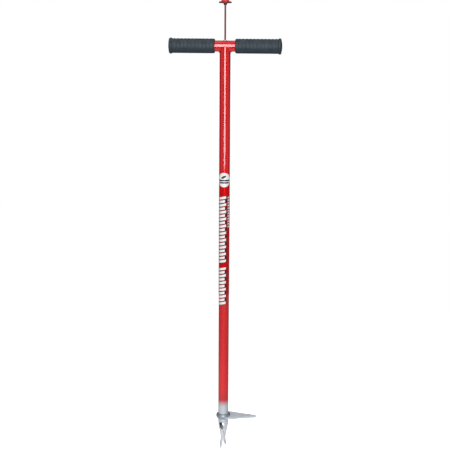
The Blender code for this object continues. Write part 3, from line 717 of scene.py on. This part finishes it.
def grip_radius(x, turn):
    """Radius of a grip at a distance along it and an angle from its top, in degrees, to either side."""
    flange_x = GRIP_OUTER_X - GRIP_FLANGE_WIDTH
    rib_start = flange_x - GRIP_FLANGE_SLOPE
    rib_end = rib_start - GRIP_RIBS * GRIP_RIB_PITCH
    on_flange = smoothstep((x - flange_x + GRIP_FLANGE_SLOPE) / GRIP_FLANGE_SLOPE)
    ribbed = 1 - smoothstep((turn - RIB_FADE_START) / (RIB_FADE_END - RIB_FADE_START))
    radius = GRIP_R - GRIP_GROOVE_DEPTH * 0.35
    if rib_end < x < rib_start:
        wave = 0.5 - 0.5 * math.cos(math.tau * (rib_start - x) / GRIP_RIB_PITCH)
        radius += GRIP_GROOVE_DEPTH * ribbed * (wave ** 1.6 * 0.9 - 0.55)
        along = min(rib_start - x, x - rib_end) / GRIP_RIB_PITCH
        ridge = math.exp(-((turn - RIDGE_TURN) / RIDGE_WIDTH) ** 2)
        radius += RIDGE_HEIGHT * ridge * smoothstep(along)
    radius += (GRIP_FLANGE_R - radius) * on_flange
    into_flange = GRIP_FLANGE_ROUND - (GRIP_OUTER_X - x)
    if into_flange > 0:
        radius -= GRIP_FLANGE_ROUND - math.sqrt(GRIP_FLANGE_ROUND ** 2 - into_flange ** 2)
    into_end = GRIP_END_ROUND - (x - GRIP_INNER_X)
    if into_end > 0:
        radius -= GRIP_END_ROUND - math.sqrt(GRIP_END_ROUND ** 2 - into_end ** 2)
    return radius


def grip(name, side):
    """A rubber grip: ribs over its top that run out below, a moulded ridge, a flange, a rounded inner end."""
    shape = bmesh.new()
    bore_r = TUBE_R + GAP / 2
    turns = [math.tau * i / ROUND_STEPS for i in range(ROUND_STEPS)]
    rows = []
    for x in grip_stations():
        ring = []
        for turn in turns:
            from_top = math.degrees(min(turn, math.tau - turn))
            radius = grip_radius(x, from_top)
            point = (side * x, radius * math.sin(turn), HANDLE_Z + radius * math.cos(turn))
            ring.append(shape.verts.new(point))
        rows.append(ring)
    for x in (GRIP_INNER_X, GRIP_OUTER_X):
        points = [(side * x, bore_r * math.sin(turn), HANDLE_Z + bore_r * math.cos(turn)) for turn in turns]
        rows.append([shape.verts.new(point) for point in points])
    join_rings(shape, rows, True)
    add_piece(name + "_rubber", shape, "grip_rubber", "frame", [name], sharp=50)


def end_plug(name, side):
    """Push-in plug: a low dome with a shallow ring round it, on a hollow stem inside the tube."""
    dome = PLUG_END_X - PLUG_FACE_X
    dome_r = (PLUG_R ** 2 + dome ** 2) / (2 * dome)
    ring_r = PLUG_R * 0.72
    profile = [(0, PLUG_END_X)]
    count = 28
    for i in range(1, count):
        radius = PLUG_R * i / count
        groove = 0.25 * MM * math.exp(-((radius - ring_r) / (0.5 * MM)) ** 2)
        profile.append((radius, PLUG_END_X - dome_r + math.sqrt(dome_r ** 2 - radius ** 2) - groove))
    stem_r = TUBE_BORE_R - GAP
    stem_end_x = PLUG_FACE_X - PLUG_STEM_LENGTH
    inner_r = stem_r - PLUG_WALL
    floor_x = PLUG_FACE_X - PLUG_WALL
    rim = [(PLUG_R - 0.1 * MM, PLUG_FACE_X + 0.35 * MM), (PLUG_R, PLUG_FACE_X + 0.15 * MM)]
    rim.append((PLUG_R - 0.2 * MM, PLUG_FACE_X))
    stem = [(stem_r, PLUG_FACE_X), (stem_r, stem_end_x), (inner_r, stem_end_x)]
    stem += [(inner_r, floor_x), (0, floor_x)]
    profile = profile[:-1] + rim + soften(stem, 0.8 * MM)
    add_piece(name + "_cap", lay_along_x(lathe(profile), side), "black_plastic", "frame", [name])


def top_bush():
    """Snap-in nylon bush where the rod enters the handle."""
    radius = reach("top_bush").x
    top_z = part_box("top_bush")[1].z
    bottom_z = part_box("top_bush")[0].z
    neck_r = BUSH_HOLE_R - GAP
    barb_z = bottom_z + 1.8 * MM
    rest_z = HANDLE_TOP_Z - 0.1 * MM
    profile = [(radius, top_z), (radius, rest_z), (neck_r, rest_z), (neck_r, barb_z)]
    profile += [(BUSH_HOLE_R + 0.4 * MM, barb_z), (neck_r, bottom_z)]
    profile += [(ROD_BORE_R, bottom_z), (ROD_BORE_R, top_z)]
    ring = lathe(soften(profile, 0.3 * MM, closed=True))
    add_piece("top_bush_ring", ring, "white_nylon", "frame", ["top_bush"])


# ---- step plate

def step_outline():
    """The plate's outline, from its tip along +Y, round the eye, and back along -Y."""
    half = [(x * MM, y * MM) for x, y in STEP_OUTLINE_MM]
    half += [(-STEP_EYE_R * math.sin(a), STEP_EYE_R * math.cos(a)) for a in map(math.radians, (0, 30, 60))]
    mirrored = [(x, -y) for x, y in reversed(half[1:])]
    return half + [(-STEP_EYE_R, 0)] + mirrored


def step_plate():
    """The pointed plate with its edges rounded over, drilled for the shaft."""
    outline = step_outline()
    curve = bpy.data.curves.new("step_plate_outline", "CURVE")
    curve.dimensions = "2D"
    curve.fill_mode = "BOTH"
    curve.bevel_depth = STEP_EDGE_ROUND
    curve.bevel_resolution = 4
    curve.offset = -STEP_EDGE_ROUND
    curve.extrude = (STEP_HIGH.z - STEP_LOW.z) / 2 - STEP_EDGE_ROUND
    curve.resolution_u = 16
    spline = curve.splines.new("BEZIER")
    spline.bezier_points.add(len(outline) - 1)
    for corner, (x, y) in zip(spline.bezier_points, outline):
        corner.co = (x, y, 0)
        corner.handle_left_type = "AUTO"
        corner.handle_right_type = "AUTO"
    spline.use_cyclic_u = True
    blank = new_object("step_plate_blank", curve)
    blank.location.z = STEP_Z
    bpy.context.view_layer.update()
    plate = shape_of(blank)
    bmesh.ops.remove_doubles(plate, verts=plate.verts, dist=0.002 * MM)
    bmesh.ops.recalc_face_normals(plate, faces=plate.faces)
    past = 2 * MM
    plate = drilled(plate, [(TUBE_R + GAP / 2, STEP_LOW.z - past, STEP_HIGH.z + past)])
    add_piece("step_plate_surface", plate, "silver_paint", "frame", ["step_plate"], sharp=30)


def step_weld(name, node, crown_z):
    """One half of the rounded bead round the shaft, from the plate's middle to crown_z, with weld ripples."""
    inner_r = TUBE_R - GAP
    root_r = TUBE_R - WELD_ROOT
    width = STEP_WELD_R - root_r - WELD_RIPPLE
    height = crown_z - STEP_Z
    points = WELD_ARC_POINTS + 4

    def section_at(turn):
        lean = 0.25 * MM * math.sin(turn * 3 + 1)
        ripple = WELD_RIPPLE * abs(math.sin(turn * STEP_WELD_SCALES / 2))
        section = [(inner_r, STEP_Z)]
        for step in range(points + 1):
            up = math.pi / 2 * step / points
            radius = root_r + (width + (ripple + lean) * math.sin(up * 2)) * math.cos(up)
            section.append((radius, STEP_Z + (height - math.copysign(ripple, height)) * math.sin(up)))
        return section + [(inner_r, crown_z - math.copysign(WELD_RIPPLE * 2, height))]

    add_piece(name, loft_turned(section_at, WELD_SECTIONS), "silver_paint", "frame", [node])


# ---- claw head

def head_radius(z):
    """Outer radius of the formed head: the tube, drawn in to the waist, then flared to the tips."""
    if z >= WAIST_BOTTOM_Z:
        return WAIST_R + (HEAD_R - WAIST_R) * smoothstep((z - WAIST_TOP_Z) / (SHOULDER_Z - WAIST_TOP_Z))
    return WAIST_R + (TIP_R - WAIST_R) * (1 - z / WAIST_BOTTOM_Z) ** FLARE_POWER


def claw_angle(z):
    """Angle of the first claw's centre line, from the front round to +X."""
    neck = smoothstep((NECK_TWIST_TOP_Z - z) / NECK_TWIST_HEIGHT)
    tip = smoothstep((POINT_TWIST_TOP_Z - z) / POINT_TWIST_HEIGHT)
    return CLAW_ROOT_ANGLE + NECK_TWIST * neck + POINT_TWIST * tip


def claw_half_angle(z):
    """Half of the angle that a claw spans: beside the window, then all but closed, then to a blunt point."""
    if z >= TAPER_START_Z:
        closing = smoothstep((WINDOW_BOTTOM_Z - z) / (WINDOW_BOTTOM_Z - SLIT_TOP_Z))
        return ROOT_HALF_ANGLE + (WAIST_HALF_ANGLE - ROOT_HALF_ANGLE) * closing
    widest = WAIST_HALF_ANGLE * head_radius(TAPER_START_Z)
    half_width = TIP_HALF_WIDTH + (widest - TIP_HALF_WIDTH) * (z / TAPER_START_Z) ** TAPER_POWER
    if z < POINT_HEIGHT:
        half_width *= POINT_SHARE + (1 - POINT_SHARE) * math.sqrt(z / POINT_HEIGHT)
    return half_width / head_radius(z)


def head_point(angle, z):
    radius = head_radius(z)
    return (radius * math.sin(angle), -radius * math.cos(angle), z)


def arch_height(across):
    """Height of a window's round top at a place across it, -1 to 1."""
    half_width = (math.pi / 2 - ROOT_HALF_ANGLE) * HEAD_R
    return WINDOW_TOP_Z - half_width * (1 - math.sqrt(max(0, 1 - across ** 2)))


def head_columns():
    """Angle and lower end of each column of the collar: straight over the claws, arched over the windows."""
    window_half = math.pi / 2 - ROOT_HALF_ANGLE
    columns = []
    for half_turn in (0, math.pi):
        for i in range(CLAW_COLUMNS):
            share = -1 + 2 * i / CLAW_COLUMNS
            columns.append((CLAW_ROOT_ANGLE + half_turn + share * ROOT_HALF_ANGLE, arch_height(1)))
        center = CLAW_ROOT_ANGLE + half_turn + math.pi / 2
        for i in range(WINDOW_COLUMNS):
            across = -math.cos(math.pi * i / WINDOW_COLUMNS)
            columns.append((center + across * window_half, arch_height(across)))
    return columns


def add_collar(sheet):
    """The head's collar on the sheet; returns its columns of vertices."""
    columns = []
    for angle, lower_z in head_columns():
        heights = [HEAD_TOP_Z + (lower_z - HEAD_TOP_Z) * row / COLLAR_ROWS for row in range(COLLAR_ROWS + 1)]
        columns.append([sheet.verts.new(head_point(angle, z)) for z in heights])
    for column, following in zip(columns, columns[1:] + columns[:1]):
        for row in range(COLLAR_ROWS):
            sheet.faces.new((column[row], column[row + 1], following[row + 1], following[row]))
    return columns


def add_claw(sheet, row, half_turn):
    """A claw on the sheet, hung from a row of the collar's vertices."""
    shares = [-1 + 2 * i / CLAW_COLUMNS for i in range(CLAW_COLUMNS + 1)]
    for step in range(1, CLAW_ROWS + 1):
        z = TIP_LIFT + (arch_height(1) - TIP_LIFT) * (1 - step / CLAW_ROWS)
        center = claw_angle(z) + half_turn
        below = [sheet.verts.new(head_point(center + claw_half_angle(z) * share, z)) for share in shares]
        for i in range(CLAW_COLUMNS):
            sheet.faces.new((row[i], below[i], below[i + 1], row[i + 1]))
        row = below


def claw_head():
    """Collar and two twisted claws as one sheet, thickened inward, with every cut edge rounded."""
    sheet = bmesh.new()
    columns = add_collar(sheet)
    for claw in (0, 1):
        first = claw * (CLAW_COLUMNS + WINDOW_COLUMNS)
        row = [columns[(first + i) % len(columns)][-1] for i in range(CLAW_COLUMNS + 1)]
        add_claw(sheet, row, claw * math.pi)
    blank = new_object("claw_head_blank", sheet)
    wall = blank.modifiers.new("Wall", "SOLIDIFY")
    wall.thickness = HEAD_WALL
    wall.offset = -1
    wall.use_even_offset = True
    rounding = blank.modifiers.new("Edges", "BEVEL")
    rounding.width = CLAW_EDGE_ROUND
    rounding.segments = 2
    rounding.limit_method = "ANGLE"
    rounding.angle_limit = math.radians(50)
    bpy.context.view_layer.update()
    add_piece("claw_head_surface", shape_of(blank), "silver_paint", "frame", ["claw_head"])


def head_weld_section(turn):
    """The bead's section at an angle, with weld ripples."""
    middle_z = middle("head_weld").z
    inner_r = HEAD_R - GAP
    ripple = 0.1 * MM * abs(math.sin(turn * HEAD_WELD_SCALES / 2))
    proud = HEAD_WELD_R - TUBE_R - 0.35 * MM + ripple
    section = [(inner_r, middle_z - HEAD_WELD_HALF), (inner_r, middle_z + HEAD_WELD_HALF)]
    for step in range(WELD_ARC_POINTS + 1):
        up = math.pi * (0.5 - step / WELD_ARC_POINTS)
        bead_r = TUBE_R - WELD_ROOT + proud * math.cos(up)
        section.append((bead_r, middle_z + HEAD_WELD_HALF * math.sin(up)))
    return section


def head_weld():
    """The thin rippled weld line where the head meets the shaft."""
    bead = loft_turned(head_weld_section, WELD_SECTIONS)
    add_piece("head_weld_bead", bead, "silver_paint", "frame", ["head_weld"])


# ---- ejector and what is inside the shaft

def plain_ring(node, bore_r, look, body, edge=0.3 * MM):
    """A fine ring in the place of a CAD ring of the same size."""
    low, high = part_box(node)
    outer_r = reach(node).x
    profile = [(outer_r, high.z), (outer_r, low.z), (bore_r, low.z), (bore_r, high.z)]
    add_piece(node + "_ring", lathe(soften(profile, edge, closed=True)), look, body, [node])


def spring_height(turn):
    """Height of the wire's centre: one close turn, the open turns, one close turn."""
    open_turns = SPRING_TURNS - 2
    length = SPRING_HIGH.z - SPRING_LOW.z - 2 * SPRING_WIRE_R
    open_pitch = (length - 2 * SPRING_END_PITCH) / open_turns
    height = min(turn, 1) * SPRING_END_PITCH + min(max(turn - 1, 0), open_turns) * open_pitch
    return SPRING_LOW.z + SPRING_WIRE_R + height + max(turn - 1 - open_turns, 0) * SPRING_END_PITCH


def return_spring():
    """The compression spring."""
    points_per_turn = 28
    sides = 10
    shape = bmesh.new()
    rings = []
    for i in range(SPRING_TURNS * points_per_turn + 1):
        turn = i / points_per_turn
        around = Matrix.Rotation(math.tau * turn, 3, "Z")
        center = Vector((SPRING_MEAN_R, 0, spring_height(turn)))
        wire = [math.tau * k / sides for k in range(sides)]
        ring = [center + Vector((math.cos(a), 0, math.sin(a))) * SPRING_WIRE_R for a in wire]
        rings.append([shape.verts.new(around @ point) for point in ring])
    join_rings(shape, rings, False)
    shape.faces.new(rings[0])
    shape.faces.new(rings[-1])
    spring = add_piece("return_spring_wire", shape, "spring_steel", "frame", ["return_spring"])
    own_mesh(spring)


def ejector_rod():
    """The long push rod, with the groove that holds the seat clip."""
    low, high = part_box("ejector_rod")
    clip_low, clip_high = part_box("seat_clip")
    groove_r = 1.5 * MM
    end_r = ROD_R - 0.5 * MM
    profile = [(0, high.z), (end_r, high.z), (ROD_R, high.z - 0.5 * MM)]
    profile += [(ROD_R, clip_high.z + GAP), (groove_r, clip_high.z + GAP)]
    profile += [(groove_r, clip_low.z - GAP), (ROD_R, clip_low.z - GAP)]
    profile += [(ROD_R, low.z + 0.5 * MM), (end_r, low.z), (0, low.z)]
    add_piece("ejector_rod_surface", lathe(profile, SMALL_STEPS), "red_lacquer", "ejector", ["ejector_rod"])


def ejector_foot():
    """The pusher: a steel button with a rounded face, a turned groove, and its cross pin."""
    low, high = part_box("ejector_foot")
    radius = reach("ejector_foot").x
    bore_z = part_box("ejector_rod")[0].z - GAP
    groove_z = high.z - 1.8 * MM
    profile = [(0, bore_z), (ROD_BORE_R, bore_z), (ROD_BORE_R, high.z), (radius, high.z)]
    profile += [(radius, groove_z + 0.4 * MM), (radius - 0.35 * MM, groove_z), (radius, groove_z - 0.4 * MM)]
    profile += [(radius, low.z), (0, low.z)]
    surface = lathe(soften(profile, 0.8 * MM))
    add_piece("ejector_foot_surface", surface, "bare_steel", "ejector", ["ejector_foot"])


def foot_pin():
    """The cross pin, its ends domed flush with the foot."""
    half = reach("ejector_foot").x - 0.05 * MM
    pin_r = reach("foot_pin").z
    depth = 0.5 * MM
    dome = arc(0, half - depth, depth, 90, 0, 5)
    profile = [(0, half)] + [(r * pin_r / depth, x) for r, x in dome[1:]]
    profile += [(r, -x) for r, x in reversed(profile)]
    shape = lathe(profile, SMALL_STEPS)
    turn = Matrix.Rotation(math.pi / 2, 4, "Y")
    place_z = Matrix.Translation((0, 0, middle("foot_pin").z))
    bmesh.ops.transform(shape, matrix=place_z @ turn, verts=shape.verts)
    add_piece("foot_pin_surface", shape, "bare_steel", "ejector", ["foot_pin"])


def knob_outside(low_z, high_z, brim_r):
    """The knob's outer profile: a dome, a round-edged brim, and a flared neck."""
    dome_r = 9.5 * MM
    neck_r = 3.6 * MM
    flare = 2.6 * MM
    brim_top = KNOB_BRIM_Z + KNOB_BRIM
    turns = [math.radians(3 * i) for i in range(28)]
    profile = [(dome_r * math.sin(a), brim_top + (high_z - brim_top) * math.cos(a)) for a in turns]
    profile += [(dome_r + 0.3 * MM, brim_top + 0.25 * MM), (dome_r + 1 * MM, brim_top + 0.02 * MM)]
    profile += arc(brim_r - KNOB_BRIM / 2, KNOB_BRIM_Z + KNOB_BRIM / 2, KNOB_BRIM / 2, 84, -90, 12)
    for turn in (math.radians(10 * i) for i in range(10)):
        below = KNOB_BRIM_Z - 0.2 * MM - flare * (1 - math.cos(turn))
        profile.append((neck_r + flare * (1 - math.sin(turn)), below))
    end = [(neck_r, low_z + 0.8 * MM), (neck_r - 0.3 * MM, low_z + 0.2 * MM), (neck_r - 0.8 * MM, low_z)]
    return profile + end


def ejector_knob():
    """Mushroom knob with a bore for the rod and a pocket for the brass insert."""
    low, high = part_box("ejector_knob")
    profile = knob_outside(low.z, high.z, reach("ejector_knob").x)
    insert_low, insert_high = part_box("knob_insert")
    pocket_r = reach("knob_insert").x + GAP
    profile += [(ROD_BORE_R, low.z), (ROD_BORE_R, insert_low.z - GAP), (pocket_r, insert_low.z - GAP)]
    profile += [(pocket_r, insert_high.z + GAP), (0, insert_high.z + GAP)]
    knob = lathe(profile, ROUND_STEPS)
    add_piece("ejector_knob_surface", knob, "red_plastic", "ejector", ["ejector_knob"])


# ---- label, a plain pattern on thin film

def film_patch(shape, columns, lift):
    """Add a patch of film wrapped on the shaft: columns of (arc from the front towards +X, low z, high z)."""
    rings = []
    for along, low, high in columns:
        turn = along / TUBE_R
        corners = []
        inner_r = TUBE_R + 0.01 * MM
        outer_r = TUBE_R + lift
        for radius, z in ((inner_r, low), (outer_r, low), (outer_r, high), (inner_r, high)):
            corners.append(shape.verts.new((radius * math.sin(turn), -radius * math.cos(turn), z)))
        rings.append(corners)
    join_rings(shape, rings, False)
    shape.faces.new(rings[0])
    shape.faces.new(rings[-1])


def bar_columns(start, end, low, high, slant=LABEL_SLANT):
    """Columns of a slanted bar from one arc length to another."""
    count = max(2, math.ceil((end - start) / (0.8 * MM)))
    places = [start + (end - start) * i / count for i in range(count + 1)]
    return [(s, low + slant * (s - start), high + slant * (s - start)) for s in places]


def disc_columns(center_z, radius, margin=0.02):
    """Columns of a round disc at the front of the shaft."""
    count = 40
    columns = []
    for i in range(count + 1):
        turn = math.pi * (margin + (1 - 2 * margin) * i / count)
        half = radius * math.sin(turn)
        columns.append((-radius * math.cos(turn), center_z - half, center_z + half))
    return columns


def add_film(name, shape, look):
    add_piece(name, shape, look, "frame")


def label_bars():
    """Two groups of slanted white bars, each over a dark shadow, up the left of the shaft's front."""
    white = bmesh.new()
    dark = bmesh.new()
    for base_z, count in BAR_GROUPS:
        for i in range(count):
            low = base_z + BAR_PITCH * i
            shadow = bar_columns(BAR_LEFT - 2.2 * MM, BAR_RIGHT + 2.4 * MM, low - 1.7 * MM, low + 5.4 * MM)
            film_patch(dark, shadow, LABEL_LIFT)
            bar = bar_columns(BAR_LEFT, BAR_RIGHT - BAR_SHORTER * (i % 2), low, low + BAR_HEIGHT)
            film_patch(white, bar, LABEL_LIFT + LABEL_FILM)
    add_film("label_bars_shadow", dark, "label_black")
    add_film("label_bars", white, "label_white")


def label_dashes():
    """A short line of small white dashes, edged in black, beside the upper bars."""
    white = bmesh.new()
    dark = bmesh.new()
    edge = 0.2 * MM
    for i in range(DASHES):
        low = DASHES_LOW_Z + DASH_PITCH * i
        high = low + DASH_HEIGHT
        film_patch(dark, bar_columns(DASH_LEFT - edge, DASH_RIGHT + edge, low - 0.7 * MM, high), LABEL_LIFT)
        film_patch(white, bar_columns(DASH_LEFT, DASH_RIGHT, low, high), LABEL_LIFT + LABEL_FILM)
    add_film("label_dashes_shadow", dark, "label_black")
    add_film("label_dashes", white, "label_white")


def label_roundel():
    """A white disc with one plain slanted leaf over two ruled lines."""
    white = bmesh.new()
    film_patch(white, disc_columns(ROUNDEL_Z, ROUNDEL_R), LABEL_LIFT)
    add_film("label_roundel", white, "label_white")
    dark = bmesh.new()
    lift = LABEL_LIFT + LABEL_FILM
    for low, half_length in ((-3 * MM, 14.5 * MM), (-8.4 * MM, 12.6 * MM)):
        low_z = ROUNDEL_Z + low
        film_patch(dark, bar_columns(-half_length, half_length, low_z, low_z + 3.4 * MM, 0), lift)
    leaf = []
    count = 20
    for i in range(count + 1):
        t = 0.04 + 0.92 * i / count
        rise = ROUNDEL_Z + (4 + 5.4 * t) * MM
        half = 3 * MM * math.sin(math.pi * t) ** 0.8
        leaf.append(((13 * t - 7.5) * MM, rise - half, rise + half))
    film_patch(dark, leaf, lift)
    add_film("label_leaf", dark, "label_black")


# ---- the object

def dress_cad_nodes():
    """New materials for the CAD nodes that stay as they are, all inside the shaft."""
    looks = {"rod_guide": "white_nylon", "spring_seat": "white_nylon", "seat_clip": "bare_steel"}
    for node, look in looks.items():
        mesh = frame["nodes"][node].data
        mesh.materials.clear()
        mesh.materials.append(LOOKS[look])


def build_object():
    shaft()
    handle()
    handle_weld()
    for name, side in (("left", -1), ("right", 1)):
        grip("grip_" + name, side)
        end_plug("end_plug_" + name, side)
    top_bush()
    step_plate()
    step_weld("step_weld_upper_bead", "step_weld_upper", STEP_WELD_TOP_Z)
    step_weld("step_weld_lower_bead", "step_weld_lower", STEP_WELD_BOTTOM_Z)
    claw_head()
    head_weld()
    plain_ring("backing_sleeve", 8.8 * MM, "bare_steel", "frame")
    plain_ring("spring_washer", 3 * MM, "bare_steel", "frame", 0.2 * MM)
    return_spring()
    ejector_rod()
    ejector_foot()
    foot_pin()
    plain_ring("rod_disc_lower", ROD_BORE_R, "white_nylon", "ejector", 0.8 * MM)
    plain_ring("rod_disc_upper", ROD_BORE_R, "white_nylon", "ejector", 0.8 * MM)
    ejector_knob()
    plain_ring("knob_insert", ROD_BORE_R, "turned_brass", "ejector")
    label_bars()
    label_dashes()
    label_roundel()
    dress_cad_nodes()


# ---- studio

CAMERA_AZIMUTH = math.radians(4.7)
CAMERA_DISTANCE = 2.337
CAMERA_HEIGHT = 1.089
CAMERA_PITCH = math.radians(12.5)
CAMERA_YAW = -0.0008
CAMERA_ROLL = math.radians(0.3)
FLOOR_GLOW = 0.45
FLOOR_GLOW_REACH = 0.75
FLOOR_GLOW_CENTER = (-0.1, -0.2, 0)


def camera():
    """Camera a little to the right of the front, at handle height, tilted down."""
    data = bpy.data.cameras.new("camera")
    data.lens = 80
    data.sensor_width = 36
    data.clip_start = 0.01
    data.dof.use_dof = False
    view = bpy.data.objects.new("camera", data)
    bpy.context.scene.collection.objects.link(view)
    away = Vector((math.sin(CAMERA_AZIMUTH), -math.cos(CAMERA_AZIMUTH), 0))
    forward = -away * math.cos(CAMERA_PITCH) - Vector((0, 0, math.sin(CAMERA_PITCH)))
    right = Vector((-away.y, away.x, 0))
    up = right.cross(forward)
    aim = Matrix((right, up, -forward)).transposed().to_4x4()
    trim = Matrix.Rotation(CAMERA_YAW, 4, "Y") @ Matrix.Rotation(CAMERA_ROLL, 4, "Z")
    position = away * CAMERA_DISTANCE + Vector((0, 0, CAMERA_HEIGHT))
    view.matrix_world = Matrix.Translation(position) @ aim @ trim
    bpy.context.scene.camera = view


def studio_floor():
    """A plain pale floor disc, white to the camera, that glows softly round the object's foot."""
    look, tree, shader = start_look("floor")
    set_inputs(shader, Base_Color=(0.55, 0.55, 0.55, 1), Roughness=0.9, Specular_IOR_Level=0.1)
    set_inputs(shader, Emission_Color=(1, 1, 1, 1))
    away = combine_vectors("DISTANCE", own_place(tree), FLOOR_GLOW_CENTER)
    glow = spread(away, FLOOR_GLOW, 0, 0, FLOOR_GLOW_REACH)
    seen = add_node(tree, "ShaderNodeLightPath").outputs["Is Camera Ray"]
    feed(combine("ADD", glow, seen), shader, "Emission Strength")
    disc = bmesh.new()
    bmesh.ops.create_circle(disc, cap_ends=True, radius=1.35, segments=128)
    floor = new_object("floor", disc)
    floor.data.materials.append(look)


def world():
    """White for the camera, dim grey as a light, so that gloss keeps its contrast."""
    studio = bpy.data.worlds.new("studio")
    bpy.context.scene.world = studio
    studio.use_nodes = True
    tree = studio.node_tree
    dim = tree.nodes["Background"]
    dim.inputs["Color"].default_value = (0.97, 0.98, 1, 1)
    dim.inputs["Strength"].default_value = 0.06
    white = add_node(tree, "ShaderNodeBackground", inputs={"Color": (1, 1, 1, 1), "Strength": 1})
    seen = add_node(tree, "ShaderNodeLightPath").outputs["Is Camera Ray"]
    mix = add_node(tree, "ShaderNodeMixShader", inputs={0: seen, 1: dim.outputs[0], 2: white.outputs[0]})
    tree.links.new(mix.outputs[0], tree.nodes["World Output"].inputs["Surface"])


def softbox(name, azimuth, distance, low, high, width, radiance):
    """An upright soft light: azimuth 0 is in front, +90 towards +X; radiance is how bright its face is."""
    data = bpy.data.lights.new(name, "AREA")
    data.shape = "RECTANGLE"
    data.size = width
    data.size_y = high - low
    data.energy = radiance * math.pi * width * (high - low)
    turn = math.radians(azimuth)
    light = bpy.data.objects.new(name, data)
    light.location = (distance * math.sin(turn), -distance * math.cos(turn), (low + high) / 2)
    light.rotation_euler = (math.pi / 2, 0, turn)
    light.visible_camera = False
    bpy.context.scene.collection.objects.link(light)
    return light


def lights():
    front = math.degrees(CAMERA_AZIMUTH)
    softbox("front_light", front, distance=3.2, low=0.2, high=3.2, width=1.6, radiance=7.6)
    softbox("rear_light", 180 + front, distance=3.2, low=0.4, high=2.8, width=2.0, radiance=1.0)
    for side in (-1, 1):
        softbox("side_panel", front + 65 * side, distance=2.6, low=0.2, high=2.8, width=3.2, radiance=0.32)
    top = softbox("top_light", 0, distance=0.01, low=2.0, high=5.2, width=3.2, radiance=0.8)
    top.rotation_euler = (0, 0, 0)


bpy.context.scene.view_settings.view_transform = "Standard"
camera()
studio_floor()
world()
lights()
build_object()
